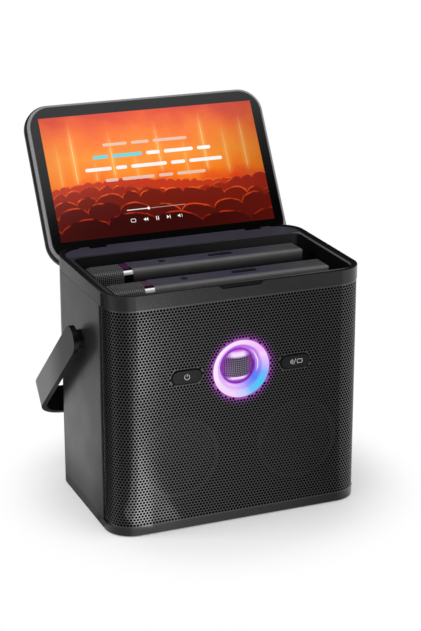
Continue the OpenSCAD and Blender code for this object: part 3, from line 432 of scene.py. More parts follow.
# Green board with a fine grid of paler tracks
def boardMaterial():
    material, surface, place = newMaterial("boardFinish")
    tracks = put(place.id_data, "TexBrick", {
        "Vector": place, "Scale": 90.0, "Mortar Size": 0.03, "Color1": (0.01, 0.09, 0.03, 1),
        "Color2": (0.013, 0.12, 0.04, 1), "Mortar": (0.03, 0.22, 0.08, 1)})
    feed(surface, {"Base Color": tracks.outputs["Color"], "Roughness": 0.4})
    return material


# Blue sleeve with a paler band round its middle
def batteryMaterial():
    material, surface, place = newMaterial("batteryFinish")
    band = stepUp(off(split(place)[2], 0.027), 0.009, 0.0085)
    feed(surface, {"Base Color": mixColour(band, (0.02, 0.08, 0.22), (0.05, 0.2, 0.42)), "Roughness": 0.35})
    return material


# Satin outer faces; the narrow edges are painted dark as shade, and the arms are painted darker towards the hubs as
# shade
def strapMaterial():
    material, surface, place = newMaterial("strapFinish")
    # painted shade: all but the sideways-facing outer faces, that is the narrow edges, get a near-black colour
    face = stepUp(absolute(facing(place)[0]), 0.75, 0.97)
    # painted shade along the arms, darkest next to the hubs
    paintedHubShadeFade = spread(split(place)[1], 0.04, 0.10)
    tint = mixColour(paintedHubShadeFade, (0.008, 0.008, 0.008), (0.098, 0.098, 0.099))
    satin(surface, place, mixColour(face, (0.002, 0.002, 0.002), tint), 0.36)
    return material


# Satin barrel with painted light: a painted bluish reflection where it faces up, neutral towards the tail, and sides
# with a painted highlight along their top that fades to painted shade downwards
def barrelMaterial():
    material, surface, place = newMaterial("barrelFinish")
    x, _, z = split(place)
    # painted reflection on the upward face, bluish, turning neutral towards the tail
    top = mixColour(stepUp(x, 0.03, 0.12), (0.040, 0.034, 0.060), (0.052, 0.051, 0.055))
    # painted highlight high on the sides, fading to painted shade below
    side = mixColour(stepUp(z, 0.300, 0.3165), (0.010, 0.010, 0.010), (0.090, 0.090, 0.091))
    satin(surface, place, mixColour(stepUp(facing(place)[2], 0.85, 0.99), side, top), 0.36, scale=40.0)
    return material


# Dark bay with painted light: a satin lip painted paler towards the right end, and a rear wall painted paler near its
# top
def bayMaterial():
    material, surface, place = newMaterial("bayFinish")
    x, y, z = split(place)
    _, backward, upward = facing(place)
    top = max(v.co.z for v in nodes["mic_bay_tray"].data.vertices)
    rightward = spread(x, -0.05, 0.16)
    # painted light on the upward face of the lip, paler towards the right end
    paintedLipLight = times(stepUp(z, top - 0.003, top - 0.0015), stepUp(upward, 0.5, 0.9))
    paintedLipLightColour = mixColour(rightward, (0.028, 0.020, 0.030), (0.085, 0.085, 0.088))
    # painted light on the upper part of the rear wall, paler towards the right end
    paintedWallShading = times(stepUp(y, 0.055, 0.066), stepUp(backward, -0.5, -0.9), stepUp(z, top - 0.030, top - 0.008))
    paintedWallLightColour = mixColour(rightward, (0.012, 0.012, 0.012), (0.034, 0.034, 0.033))
    tint = mixColour(paintedWallShading, mixColour(paintedLipLight, (0.004, 0.004, 0.005), paintedLipLightColour), paintedWallLightColour)
    satin(surface, place, tint, 0.3, cloud=0.08)
    feed(surface, {"Specular IOR Level": 0.3})
    return material


finishes.update(barrel=barrelMaterial(), board=boardMaterial(), battery=batteryMaterial(),
                bay=bayMaterial(), strap=strapMaterial())

# CAD nodes whose shape stays, with their finishes
kept = {
    "front_baffle": "baffle", "rim_gasket": "seal", "charge_contacts": "gold", "foot_ring": "foot",
    "led_ring_board": "ledBoard", "tweeter_motor": "cast",
    "left_woofer_frame": "cast", "right_woofer_frame": "cast",
    "left_woofer_surround": "seal", "right_woofer_surround": "seal",
    "left_woofer_cone": "cone", "right_woofer_cone": "cone",
    "left_woofer_magnet": "magnet", "right_woofer_magnet": "magnet",
    "woofer_screws": "steel", "base_screws": "steel", "hinge_pins": "steel", "hub_nuts": "steel",
    "main_board": "board", "button_boards": "board", "display_board": "board",
    "heat_sink": "sink", "battery_pack": "battery", "io_sockets": "socket",
    "left_hinge_bracket": "hinge", "right_hinge_bracket": "hinge",
    "left_hinge_arm": "hinge", "right_hinge_arm": "hinge", "display_panel": "plate",
    "front_mic_capsule": "capsule", "rear_mic_capsule": "capsule",
}
for nodeName, finish in kept.items():
    paint(nodes[nodeName], finishes[finish])
print("finishes made,", len(kept), "kept nodes painted")


# ---- shells with softened edges

shells = [
    # node, piece, edge, body, slot, finish
    ("cabinet_shell", "cabinetShell", 0.0006, "body", "cabinet_plastic", "cabinet"),
    ("top_frame", "rimBand", 0.0008, "body", "rim_plastic", "rim"),
    ("base_plate", "baseBand", 0.0012, "body", "base_plastic", "base"),
    ("hinge_cover", "hingeDeck", 0.0005, "body", "deck_plastic", "deck"),
    ("mic_bay_tray", "micBay", 0.0011, "body", "bay_plastic", "bay"),
    ("io_panel", "socketPlate", 0.0005, "body", "socket_plate_plastic", "plate"),
    ("handle_hubs", "handleHubs", 0.0004, "body", "hub_plastic", "hub"),
    ("power_button", "powerButton", 0.0014, "power_button", "button_plastic", "button"),
    ("link_button", "linkButton", 0.0014, "link_button", "button_plastic", "button"),
    ("lid_back", "lidBack", 0.0006, "display_lid", "lid_plastic", "lid"),
    ("handle_strap", "handleStrap", 0.0012, "handle", "strap_plastic", "strap"),
]
# a button's face sits a little lower than in the CAD, so that its icon ends level with the CAD face
buttonFace = {"before": -0.1135, "drop": 0.00018}
for nodeName, pieceName, edge, body, slotName, finish in shells:
    shell = softenedCopy(nodeName, pieceName, edge)
    if slotName == "button_plastic":
        for v in shell.data.vertices:
            if v.co.y < buttonFace["before"]:
                v.co.y += buttonFace["drop"]
    dress(shell, body, slotName, finishes[finish], nodeName)
print("shells softened")


# ---- perforated front

grille = {"pitch": 0.0043, "holeRadius": 0.00176, "holeSides": 12, "thickness": 0.0006, "margin": 0.0002,
          "low": 0.0125, "high": 0.3027, "sideRun": 0.0053, "splitAt": 0.07,
          # how much lower it sits beside the cabinet, and over which part of the corner it sinks, in radians
          "tuck": 0.0017, "tuckFrom": 0.7, "tuckOver": 0.87,
          "hornRadius": 0.0384, "buttonX": 0.0742, "slotHalf": 0.0202, "slotRadius": 0.0092}
halfRun = console["flatHalf"] + console["cornerRadius"] * math.pi / 2 + grille["sideRun"]
slotReach = grille["slotHalf"] - grille["slotRadius"]
# closer than these counts as the same place, as on the border and as on the edge of an opening
sameWithin, borderWithin, openingWithin = 1e-9, 1e-5, 2e-4


def openingDistance(x, z):
    # how far a flat point lies outside the nearest opening, and the nearest point on that opening's edge
    found = []
    for middle, reach, radius in ((0.0, 0.0, grille["hornRadius"]),
                                  (-grille["buttonX"], slotReach, grille["slotRadius"]),
                                  (grille["buttonX"], slotReach, grille["slotRadius"])):
        base = Vector((middle + max(-reach, min(reach, x - middle)), console["hornZ"]))
        away = Vector((x, z)) - base
        direction = away.normalized() if away.length > sameWithin else Vector((0.0, 1.0))
        found.append((away.length - radius, base + direction * radius))
    return min(found, key=lambda item: item[0])


def wrapped(s, z, depth):
    # a flat point of the sheet, taken round the corners of the body
    side = 1 if s >= 0 else -1
    radius = console["cornerRadius"]
    beyond = abs(s) - console["flatHalf"]
    angle = beyond / radius
    sunk = max(0.0, min(1.0, (angle - grille["tuckFrom"]) / grille["tuckOver"]))
    depth += grille["tuck"] * sunk * sunk * (3 - 2 * sunk)
    if beyond <= 0:
        return (s, console["frontY"] + depth, z)
    centreX, centreY = console["flatHalf"], console["frontY"] + radius
    if angle <= math.pi / 2:
        return (side * (centreX + (radius - depth) * math.sin(angle)), centreY - (radius - depth) * math.cos(angle), z)
    return (side * (centreX + radius - depth), centreY + beyond - radius * math.pi / 2, z)


# The six corners of a cell, kept inside the sheet and out of its openings, and how many stayed in place
def cellCorners(s, z):
    corners, inPlace = [], 0
    for k in range(6):
        turn = math.radians(30 + 60 * k)
        x = s + grille["pitch"] / math.sqrt(3) * math.cos(turn)
        y = z + grille["pitch"] / math.sqrt(3) * math.sin(turn)
        keptX = max(-halfRun, min(halfRun, x))
        keptY = max(grille["low"], min(grille["high"], y))
        distance, nearest = openingDistance(keptX, keptY)
        if distance < 0:
            keptX, keptY = nearest
        inPlace += abs(keptX - x) < sameWithin and abs(keptY - y) < sameWithin
        corners.append((keptX, keptY))
    return corners, inPlace


def addCell(s, z, points, faces, known):
    corners, inPlace = cellCorners(s, z)
    if inPlace == 0:
        return
    ring = []
    for x, y in corners:
        key = (round(x, 7), round(y, 7))
        if key not in known:
            known[key] = len(points)
            points.append((x, y, 0.0))
        if not ring or known[key] != ring[-1]:
            ring.append(known[key])
    if ring[0] == ring[-1]:
        ring.pop()
    if len(ring) < 3:
        return
    need = grille["holeRadius"] + grille["margin"]
    if not (openingDistance(s, z)[0] > need and abs(s) < halfRun - need
            and grille["low"] + need < z < grille["high"] - need):
        faces.append(ring)
        return
    sides, first = grille["holeSides"], len(points)
    for depth in (0.0, grille["thickness"]):
        for k in range(sides):
            turn = math.radians(30) + 2 * math.pi * k / sides
            points.append((s + grille["holeRadius"] * math.cos(turn), z + grille["holeRadius"] * math.sin(turn), depth))
    for k in range(6):
        a, b = ring[k], ring[(k + 1) % 6]
        h0, h1, h2 = (first + (2 * k + step) % sides for step in (0, 1, 2))
        faces += [(a, h1, h0), (a, b, h1), (b, h2, h1)]
    for k in range(sides):
        a, b = first + k, first + (k + 1) % sides
        faces.append((a, b, b + sides, a + sides))


# Whether the middle of a flat edge lies on a border of the sheet or of an opening
def onBorder(middle):
    fromBorder = min(abs(middle.y - grille["low"]), abs(middle.y - grille["high"]), abs(abs(middle.x) - halfRun))
    return fromBorder < borderWithin or abs(openingDistance(middle.x, middle.y)[0]) < openingWithin


def buildGrille():
    pitch, low, high = grille["pitch"], grille["low"], grille["high"]
    rowPitch = pitch * math.sqrt(3) / 2
    rows = int((high - low) / rowPitch / 2) + 2
    columns = int(halfRun / pitch) + 2
    sheets = {"grilleLeft": ([], [], {}), "grilleFront": ([], [], {}), "grilleRight": ([], [], {})}
    for row in range(-rows, rows + 1):
        for column in range(-columns, columns + 1):
            s = (column + (0.5 if row % 2 else 0.0)) * pitch
            name = "Left" if s < -grille["splitAt"] else "Right" if s > grille["splitAt"] else "Front"
            addCell(s, (low + high) / 2 + row * rowPitch, *sheets["grille" + name])
    made = []
    for name, (points, faces, _) in sheets.items():
        piece = meshPiece(name, points, faces)
        # the cut edge round openings and borders turns in by the thickness of the sheet
        shape = bmesh.new()
        shape.from_mesh(piece.data)
        cut = [e for e in shape.edges if e.is_boundary and all(v.co.z < borderWithin for v in e.verts)
               and onBorder((e.verts[0].co + e.verts[1].co) / 2)]
        for item in bmesh.ops.extrude_edge_only(shape, edges=cut)["geom"]:
            if isinstance(item, bmesh.types.BMVert):
                item.co.z = grille["thickness"]
        # how far each point lies into the sheet, read by the material to paint the hole walls dark as shade
        inset = shape.verts.layers.float.new("inset")
        for v in shape.verts:
            v[inset] = v.co.z / grille["thickness"]
            v.co = Vector(wrapped(*v.co))
        shape.to_mesh(piece.data)
        shape.free()
        made.append(piece)
    return made


# Dark sheet with a powder coat, painted shade in the holes and round the button slots, and a painted glow for the light
# of the horn spilling over its edge
def grilleMaterial():
    material, surface, place = newMaterial("grilleFinish")
    tint = scaled((0.009, 0.009, 0.0095), clouds(place, 30.0, 1.0, 0.1))
    # the hole walls are painted near black, as shade inside the holes
    inset = put(place.id_data, "Attribute", attribute_name="inset").outputs["Fac"]
    # painted shade like that of the hole walls: a narrow ring round the slots of the two buttons
    x, _, z = split(place)
    besideSlot = calc("MAXIMUM", minus(off(absolute(x), grille["buttonX"]), slotReach), 0.0)
    fromSlot = vector("LENGTH", joined(besideSlot, 0.0, minus(z, console["hornZ"])))
    slotGap = minus(fromSlot, grille["slotRadius"])
    paintedWallShading = calc("MAXIMUM", stepUp(inset, 0.02, 0.5), stepUp(slotGap, 0.0020, 0.0008))
    # painted glow: the light of the horn on the sheet round its mouth
    fromHorn = vector("LENGTH", vector("MULTIPLY", vector("ADD", place, (0, 0, -console["hornZ"])), (1, 0, 1)))
    glow = times(calc("POWER", stepUp(fromHorn, 0.055, 0.036), 2.0), minus(1.0, paintedWallShading))
    feed(surface, {"Base Color": mixColour(paintedWallShading, tint, (0.001, 0.001, 0.001)),
                   "Normal": bumped(noise(place, 1600.0), 0.05),
                   "Roughness": spread(paintedWallShading, 0.0, 1.0, 0.17, 1.0), "Specular IOR Level": 1.0,
                   "Emission Color": scaled((0.32, 0.022, 0.42), glow), "Emission Strength": 1.0})
    return material


grilleFinish = grilleMaterial()
for piece in buildGrille():
    dress(piece, "body", "grille_metal", grilleFinish, "front_grille")
print("perforated front built")


# ---- horn

horn = {"steps": 96, "smoothAngle": 50, "mergeWithin": 0.000001,
        # radius and depth behind the front, from the mouth inwards
        "flare": [(0.0383, 0.0030), (0.0383, 0.0003), (0.0379, -0.0002), (0.0372, 0.0001), (0.0355, 0.0012),
                  (0.0330, 0.0028), (0.0312, 0.0042), (0.0303, 0.0046), (0.0296, 0.0058), (0.0284, 0.0076),
                  (0.0270, 0.0094), (0.0256, 0.0110), (0.0246, 0.0118), (0.0241, 0.0128), (0.0241, 0.0170)],
        "ring": [(0.0240, 0.0128), (0.0240, 0.0112), (0.0236, 0.0104), (0.0228, 0.0101), (0.0220, 0.0105),
                 (0.0216, 0.0113), (0.0216, 0.0136)],
        # lines on the flare: radius, width, start and end round it, colour, strength; the two white lines are painted
        # highlights
        "lines": [(0.0303, 0.0006, 0.58, 0.99, (0.30, 0.06, 0.45), 0.75),
                  (0.0277, 0.0005, 0.52, 0.86, (0.24, 0.04, 0.40), 0.6),
                  (0.0268, 0.0007, 0.43, 0.66, (1.0, 0.90, 1.0), 0.85),
                  (0.0262, 0.0006, 0.12, 0.24, (1.0, 0.92, 1.0), 0.7),
                  (0.0322, 0.0010, 0.165, 0.205, (0.55, 0.07, 0.55), 0.8)]}


# A profile of radius and depth, spun round the horn's axis, its faces turned to the axis
def spunPiece(name, profile):
    points = [(radius, console["frontY"] + depth, console["hornZ"]) for radius, depth in profile]
    piece = meshPiece(name, points, [])
    for i in range(len(points) - 1):
        piece.data.edges.add(1)
        piece.data.edges[i].vertices = (i, i + 1)
    editAll(piece)
    bpy.ops.mesh.spin(steps=horn["steps"], angle=2 * math.pi, center=(0, 0, console["hornZ"]), axis=(0, 1, 0))
    bpy.ops.mesh.select_all(action="SELECT")
    bpy.ops.mesh.remove_doubles(threshold=horn["mergeWithin"])
    leaveEdit()
    smoothByAngle(piece, horn["smoothAngle"])
    shape = bmesh.new()
    shape.from_mesh(piece.data)
    bmesh.ops.recalc_face_normals(shape, faces=shape.faces)
    if max(shape.faces, key=lambda f: abs(f.normal.y)).normal.y > 0:
        bmesh.ops.reverse_faces(shape, faces=shape.faces)
    shape.to_mesh(piece.data)
    shape.free()
    return piece


# The lit funnel: white and lilac, with a cyan patch low on the right
def flareMaterial():
    material, surface, place = newMaterial("flareFinish")
    x, _, height = split(place)
    z = minus(height, console["hornZ"])
    # from the left over the bottom, the right and the top back to the left
    around = spread(calc("ARCTAN2", z, x), -math.pi, math.pi)
    radius = calc("SQRT", plus(times(x, x), times(z, z)))
    outer = ramp(around, [(0.0, (0.98, 0.80, 0.98)), (0.20, (0.94, 0.70, 0.99)), (0.275, (0.60, 0.62, 1.0)),
                          (0.32, (0.10, 0.55, 1.0)), (0.40, (0.0, 0.60, 1.0)), (0.455, (0.15, 0.45, 1.0)),
                          (0.51, (0.62, 0.48, 1.0)), (0.60, (0.88, 0.45, 0.98)), (0.75, (0.97, 0.72, 0.98)),
                          (0.88, (1.0, 0.84, 1.0)), (1.0, (0.98, 0.80, 0.98))])
    inner = ramp(around, [(0.0, (0.80, 0.42, 0.92)), (0.22, (0.78, 0.46, 0.98)), (0.31, (0.33, 0.30, 1.0)),
                          (0.39, (0.05, 0.20, 0.98)), (0.46, (0.20, 0.18, 0.95)), (0.54, (0.56, 0.26, 0.92)),
                          (0.66, (0.55, 0.16, 0.80)), (0.78, (0.46, 0.12, 0.70)), (0.90, (0.68, 0.30, 0.86)),
                          (1.0, (0.80, 0.42, 0.92))])
    colour = mixColour(stepUp(radius, 0.0285, 0.0322), inner, outer)
    for middle, width, first, last, tone, strength in horn["lines"]:
        line = stepUp(off(radius, middle), width, width * 0.3)
        window = times(stepUp(around, first, first + 0.05), stepUp(around, last, last - 0.05))
        colour = mixColour(times(line, window, strength), colour, tone)
    feed(surface, {"Emission Color": colour, "Emission Strength": 0.88,
                   "Base Color": (0.06, 0.05, 0.07, 1), "Roughness": 0.2})
    return material


# The ring round the horn, with a painted purple glow that is paler above and below
def ringMaterial():
    material, surface, place = newMaterial("hornRingFinish")
    reach = horn["ring"][0][0]
    up = spread(split(place)[2], console["hornZ"] - reach, console["hornZ"] + reach)
    colour = ramp(up, [(0.0, (0.20, 0.015, 0.36)), (0.5, (0.13, 0.008, 0.28)), (1.0, (0.30, 0.03, 0.50))])
    feed(surface, {"Emission Color": colour, "Emission Strength": 0.8,
                   "Base Color": (0.08, 0.01, 0.14, 1), "Roughness": 0.15})
    return material


# Domed mesh, all painted as a glow: a darker middle band shows the mesh, painted purple-lit towards the sides, with
# painted highlights and reflections above and below
def domeMaterial():
    material, surface, place = newMaterial("domeFinish")
    x, _, height = split(place)
    z = minus(height, console["hornZ"])
    cell = 0.0026
    dots = [off(calc("FRACT", over(plus(value, 1.0), cell)), 0.5) for value in (x, z)]
    wire = stepUp(calc("MAXIMUM", *dots), 0.30, 0.42)
    knot = stepUp(calc("MINIMUM", *dots), 0.20, 0.34)
    sides = stepUp(absolute(x), 0.007, 0.020)
    wireColour = mixColour(sides, (0.018, 0.017, 0.02), (0.13, 0.015, 0.20))
    holeColour = mixColour(sides, (0.004, 0.004, 0.005), (0.05, 0.006, 0.09))
    knotColour = mixColour(sides, (0.26, 0.25, 0.28), (0.40, 0.08, 0.54))
    weave = mixColour(knot, mixColour(wire, holeColour, wireColour), knotColour)
    bow = times(x, x, 4.0)
    topEdge = minus(z, plus(0.0118, bow))
    lowEdge = minus(plus(z, 0.0138), bow)
    # painted highlights and reflections above and below the mesh band
    lit = ramp(spread(z, -0.022, 0.022), [
        (0.0, (0.30, 0.03, 0.50)), (0.08, (0.55, 0.16, 0.78)), (0.12, (1.0, 0.82, 1.0)), (0.17, (0.9, 0.66, 1.0)),
        (0.21, (0.5, 0.2, 0.7)), (0.78, (0.6, 0.3, 0.8)), (0.83, (1.0, 0.90, 1.0)), (0.90, (0.95, 0.74, 1.0)),
        (0.95, (0.60, 0.20, 0.80)), (1.0, (0.3, 0.03, 0.5))])
    fade = stepUp(absolute(x), 0.006, 0.015)
    lit = mixColour(times(fade, 0.85), lit, (0.34, 0.05, 0.52))
    outside = calc("MAXIMUM", stepUp(topEdge, -0.0003, 0.0003), stepUp(lowEdge, 0.0003, -0.0003))
    feed(surface, {"Emission Color": mixColour(outside, weave, lit), "Emission Strength": 0.9,
                   "Base Color": (0.03, 0.01, 0.045, 1), "Roughness": 0.55})
    return material


dress(spunPiece("hornFlare", horn["flare"]), "body", "horn_plastic", flareMaterial(), "horn_flare")
dress(spunPiece("hornRing", horn["ring"]), "body", "horn_ring_plastic", ringMaterial(), "horn_bezel")
dress(softenedCopy("tweeter_grille", "hornDome", 0), "body", "mesh_metal", domeMaterial(), "tweeter_grille")
print("horn built")


# ---- icons of the two front buttons

# A band that follows an arc, drawn flat, angles in degrees
def flatArc(name, radius, width, start, end, centre, steps=28):
    points = []
    for i in range(steps + 1):
        turn = math.radians(start + (end - start) * i / steps)
        for r in (radius - width / 2, radius + width / 2):
            points.append((centre[0] + r * math.cos(turn), centre[1] + r * math.sin(turn), 0))
    return meshPiece(name, points, [(2 * i, 2 * i + 1, 2 * i + 3, 2 * i + 2) for i in range(steps)])


# A bar with round ends, drawn flat
def flatBar(name, start, end, width, steps=8):
    start, end = Vector((*start, 0)), Vector((*end, 0))
    turn = math.atan2(end.y - start.y, end.x - start.x)
    points = []
    for centre, base in ((end, turn - math.pi / 2), (start, turn + math.pi / 2)):
        for i in range(steps + 1):
            a = base + math.pi * i / steps
            points.append(centre + Vector((math.cos(a), math.sin(a), 0)) * width / 2)
    return meshPiece(name, points, [tuple(range(len(points)))])


def flatShape(name, outline):
    return meshPiece(name, [(x, y, 0) for x, y in outline], [tuple(range(len(outline)))])


# A rounded rectangle as a band
def flatFrame(name, width, height, corner, band, centre, steps=6):
    points = []
    for inset in (0, band):
        for k, (sx, sy) in enumerate(((1, 1), (-1, 1), (-1, -1), (1, -1))):
            for i in range(steps + 1):
                a = math.pi / 2 * (k + i / steps)
                r = max(corner - inset, 0.0001)
                points.append((centre[0] + sx * (width / 2 - corner) + r * math.cos(a),
                               centre[1] + sy * (height / 2 - corner) + r * math.sin(a), 0))
    count = 4 * (steps + 1)
    return meshPiece(name, points, [(i, (i + 1) % count, count + (i + 1) % count, count + i) for i in range(count)])


# Joins flat shapes, gives them thickness and puts them in place
def thickened(name, parts, thickness, place):
    deselectAll()
    for part in parts:
        part.select_set(True)
    bpy.context.view_layer.objects.active = parts[0]
    if len(parts) > 1:
        bpy.ops.object.join()
    piece = bpy.context.object
    piece.name = name
    editAll(piece)
    bpy.ops.mesh.normals_make_consistent(inside=False)
    leaveEdit()
    if sum(p.normal.z * p.area for p in piece.data.polygons) < 0:
        editAll(piece)
        bpy.ops.mesh.flip_normals()
        leaveEdit()
    applyModifier(piece, "SOLIDIFY", thickness=thickness, offset=1)
    piece.matrix_world = place @ piece.matrix_world
    return piece


# the two icons, drawn round the middle of their buttons
icons = {"y": -0.11574, "lift": 0.00004, "thickness": 0.0001, "stroke": 0.0008, "fineStroke": 0.0007,
         "waveX": -0.0078, "waves": {"near": (0.0016, 55), "middle": (0.0032, 50), "far": (0.0048, 45)}}
powerX, linkX = -grille["buttonX"], grille["buttonX"]
frontPlace = (Matrix.Translation((0, icons["y"] - icons["lift"], console["hornZ"]))
              @ Matrix.Rotation(math.pi / 2, 4, "X"))
powerIcon = [flatArc("arc", 0.0034, icons["stroke"], 125, 415, (powerX, -0.0002)),
             flatBar("stroke", (powerX, 0.0004), (powerX, 0.0041), icons["stroke"])]
dress(thickened("powerIcon", powerIcon, icons["thickness"], frontPlace),
      "power_button", "button_plastic", finishes["icon"])
linkIcon = [flatArc(name, radius, icons["fineStroke"], -reach, reach, (linkX + icons["waveX"], 0))
            for name, (radius, reach) in icons["waves"].items()]
linkIcon += [flatBar("slash", (linkX - 0.0018, -0.0036), (linkX + 0.0006, 0.0036), icons["fineStroke"]),
             flatFrame("window", 0.0078, 0.0058, 0.0016, icons["stroke"], (linkX + 0.0063, 0))]
dress(thickened("linkIcon", linkIcon, icons["thickness"], frontPlace),
      "link_button", "button_plastic", finishes["icon"])
print("button icons drawn")


# ---- display

display = {"hinge": (0, 0.1065, 0.3079), "tilt": 59.1, "glass": -0.0135, "width": 0.311, "height": 0.174,
           "foot": 0.0265, "lift": 0.00004, "thickness": 0.00008, "aspect": 1.78,
           # half width, half height, corner radius and middle of the lid's outline
           "outline": (0.174, 0.1145, 0.036, 0.1065)}
lidPlace = Matrix.Translation(display["hinge"]) @ Matrix.Rotation(math.radians(display["tilt"]), 4, "X")
glassPlace = lidPlace @ Matrix.Translation((-display["width"] / 2, display["foot"], display["glass"] + display["lift"]))


# Places on the lid: across, up from the hinge along the lid, out of its face, and the distance in from its outline
def lidAxes(place):
    turned = lidPlace.to_3x3()
    origin = Vector(display["hinge"])
    across = split(place)[0]
    along, lift = (minus(vector("DOT_PRODUCT", place, direction[:]), origin.dot(direction))
                   for direction in (turned @ Vector((0, 1, 0)), turned @ Vector((0, 0, 1))))
    halfWide, halfTall, corner, middle = display["outline"]
    overX = minus(absolute(across), halfWide - corner)
    overY = minus(off(along, middle), halfTall - corner)
    outside = vector("LENGTH", vector("MAXIMUM", joined(overX, overY), (0, 0, 0)))
    inside = calc("MINIMUM", calc("MAXIMUM", overX, overY), 0.0)
    return across, along, lift, minus(corner, plus(outside, inside))


sky = [(0.0, (0.30, 0.012, 0.004)), (0.34, (0.80, 0.060, 0.006)), (0.46, (1.0, 0.22, 0.006)),
       (0.62, (1.0, 0.30, 0.020)), (0.80, (0.98, 0.19, 0.018)), (0.95, (0.82, 0.085, 0.020)),
       (1.0, (0.72, 0.06, 0.020))]
beams = [  # place across, foot, head, strength
    (0.055, 0.42, 0.80, 0.55), (0.125, 0.44, 0.93, 1.0), (0.215, 0.40, 0.66, 0.6), (0.300, 0.46, 0.86, 0.85),
    (0.405, 0.42, 0.70, 0.45), (0.520, 0.48, 0.90, 0.8), (0.640, 0.42, 0.76, 0.5), (0.735, 0.46, 0.94, 1.0),
    (0.835, 0.42, 0.82, 0.7), (0.925, 0.44, 0.90, 0.9)]
hills = [  # height, swell, bumps, size of the bumps, colour, colour of the lit edge
    (0.40, 5.52, 23.0, 0.022, (0.55, 0.034, 0.006), (1.0, 0.18, 0.02)),
    (0.34, 7.44, 15.0, 0.036, (0.32, 0.016, 0.004), (1.0, 0.15, 0.02)),
    (0.26, 4.08, 10.0, 0.055, (0.17, 0.008, 0.002), (0.98, 0.12, 0.016)),
    (0.17, 6.96, 7.0, 0.070, (0.085, 0.004, 0.002), (0.85, 0.075, 0.012)),
    (0.06, 5.04, 4.5, 0.080, (0.035, 0.0016, 0.001), (0.60, 0.035, 0.008))]


# The lit picture: a warm sky with upright beams over rows of round hills
def screenMaterial():
    material, surface, place = newMaterial("screenFinish")
    across, along, _, inward = lidAxes(place)
    # u runs across the picture and v up it, both from 0 to 1
    u = plus(over(across, display["width"]), 0.5)
    v = over(minus(along, display["foot"]), display["height"])
    flat = joined(times(u, display["aspect"]), v)
    cloud = minus(noise(flat, 3.0, 5.0), 0.5)
    picture = ramp(plus(v, times(cloud, 0.40)), sky)
    for centre, foot, head, strength in beams:
        beside = off(u, centre)
        halo = times(calc("POWER", stepUp(beside, 0.030, 0.0), 2.0), 0.32)
        run = times(stepUp(v, foot - 0.03, foot + 0.06), stepUp(v, head + 0.03, head - 0.20))
        lit = times(calc("MAXIMUM", stepUp(beside, 0.0034, 0.0010), halo), run, strength)
        picture = mixColour(lit, picture, (1.0, 0.66, 0.20))
    glint = noise(flat, 9.0, 3.0)
    warped = plus(u, times(cloud, 0.16))
    for height, swell, bumps, size, body, rim in hills:
        ground = plus(times(calc("SINE", times(u, swell)), 0.04), height)
        rounds = calc("SQRT", absolute(calc("SINE", times(warped, bumps * math.pi))))
        under = minus(plus(ground, times(rounds, size)), v)
        shine = times(stepUp(glint, 0.38, 0.62), stepUp(under, 0.016, 0.003))
        picture = mixColour(stepUp(under, -0.002, 0.002), picture, mixColour(shine, body, rim))
    corners = calc("MULTIPLY", calc("POWER", off(u, 0.40), 3.0), 2.2, clamp=True)
    picture = mixColour(corners, picture, (0.14, 0.006, 0.002))
    inside = times(calc("LESS_THAN", off(u, 0.5), 0.5), calc("LESS_THAN", off(v, 0.5), 0.5))
    # the outermost strip is the polished edge of the glass, painted pale as a highlight; the rest of the glass is
    # painted a little paler towards the top, a painted reflection
    face = mixColour(stepUp(v, 0.1, 1.0), (0.001, 0.001, 0.001), (0.018, 0.018, 0.0185))
    feed(surface, {"Emission Color": mixColour(inside, (0, 0, 0), picture), "Emission Strength": 1.0,
                   "Base Color": mixColour(stepUp(inward, 0.0062, 0.0044), face, (0.26, 0.26, 0.27)),
                   "Roughness": 0.12, "Specular IOR Level": 0.2})
    return material


# Lid plastic, with a painted highlight: paler on the sloping edge next to the glass
def lidFrameMaterial():
    material, surface, place = newMaterial("lidFrameFinish")
    # painted highlight on the sloping edge next to the glass
    front = stepUp(lidAxes(place)[2], display["glass"] - 0.0050, display["glass"] - 0.0012)
    satin(surface, place, mixColour(front, (0.012, 0.012, 0.0125), (0.26, 0.26, 0.27)), 0.34, depth=0.08)
    return material


dress(softenedCopy("lid_frame", "lidFrame", 0.0006), "display_lid", "lid_plastic", lidFrameMaterial(), "lid_frame")
screenGlass = softenedCopy("lid_glass", "screenGlass", 0.0003, steps=2)
dress(screenGlass, "display_lid", "screen_glass", screenMaterial(), "lid_glass")
# the picture is seen, but lights only the glass, so the deck and the microphones take no tint from it
litByScreen = bpy.data.collections.new("litByScreen")
litByScreen.objects.link(screenGlass)
screenGlass.light_linking.receiver_collection = litByScreen


def glowing(name, colour):
    material, surface, place = newMaterial(name)
    tint = scaled(colour, spread(noise(place, 90.0), 0.0, 1.0, 0.94, 1.06))
    feed(surface, {"Emission Color": tint, "Emission Strength": 1.0, "Base Color": (0.02, 0.02, 0.02, 1),
                   "Roughness": 0.3})
    return material


# A lit sign just in front of the glass
def sign(name, parts, light):
    dress(thickened(name, parts, display["thickness"], glassPlace), "display_lid", "display_face", light)


# Rows of plain rounded bars where words would scroll: height above the foot, bar height, then start and end of each bar
words = [
    ("faintRow", 0.1290, 0.0042, (0.80, 0.52, 0.40), [(0.083, 0.118), (0.124, 0.150), (0.156, 0.206)]),
    ("sungRow", 0.1125, 0.0050, (0.12, 0.66, 0.74), [(0.066, 0.088), (0.094, 0.137)]),
    ("nextRow", 0.1125, 0.0050, (0.95, 0.93, 0.92), [(0.143, 0.163), (0.169, 0.212), (0.218, 0.238)]),
    ("laterRow", 0.0955, 0.0050, (0.90, 0.88, 0.87),
     [(0.052, 0.090), (0.096, 0.112), (0.118, 0.170), (0.176, 0.197), (0.203, 0.252)]),
    ("lastRow", 0.0790, 0.0044, (0.78, 0.50, 0.40), [(0.078, 0.096), (0.102, 0.149), (0.155, 0.176), (0.182, 0.224)]),
]
for name, height, tall, colour, bars in words:
    sign(name, [flatBar("bar", (a + tall / 2, height), (b - tall / 2, height), tall) for a, b in bars],
         glowing(name + "Light", colour))

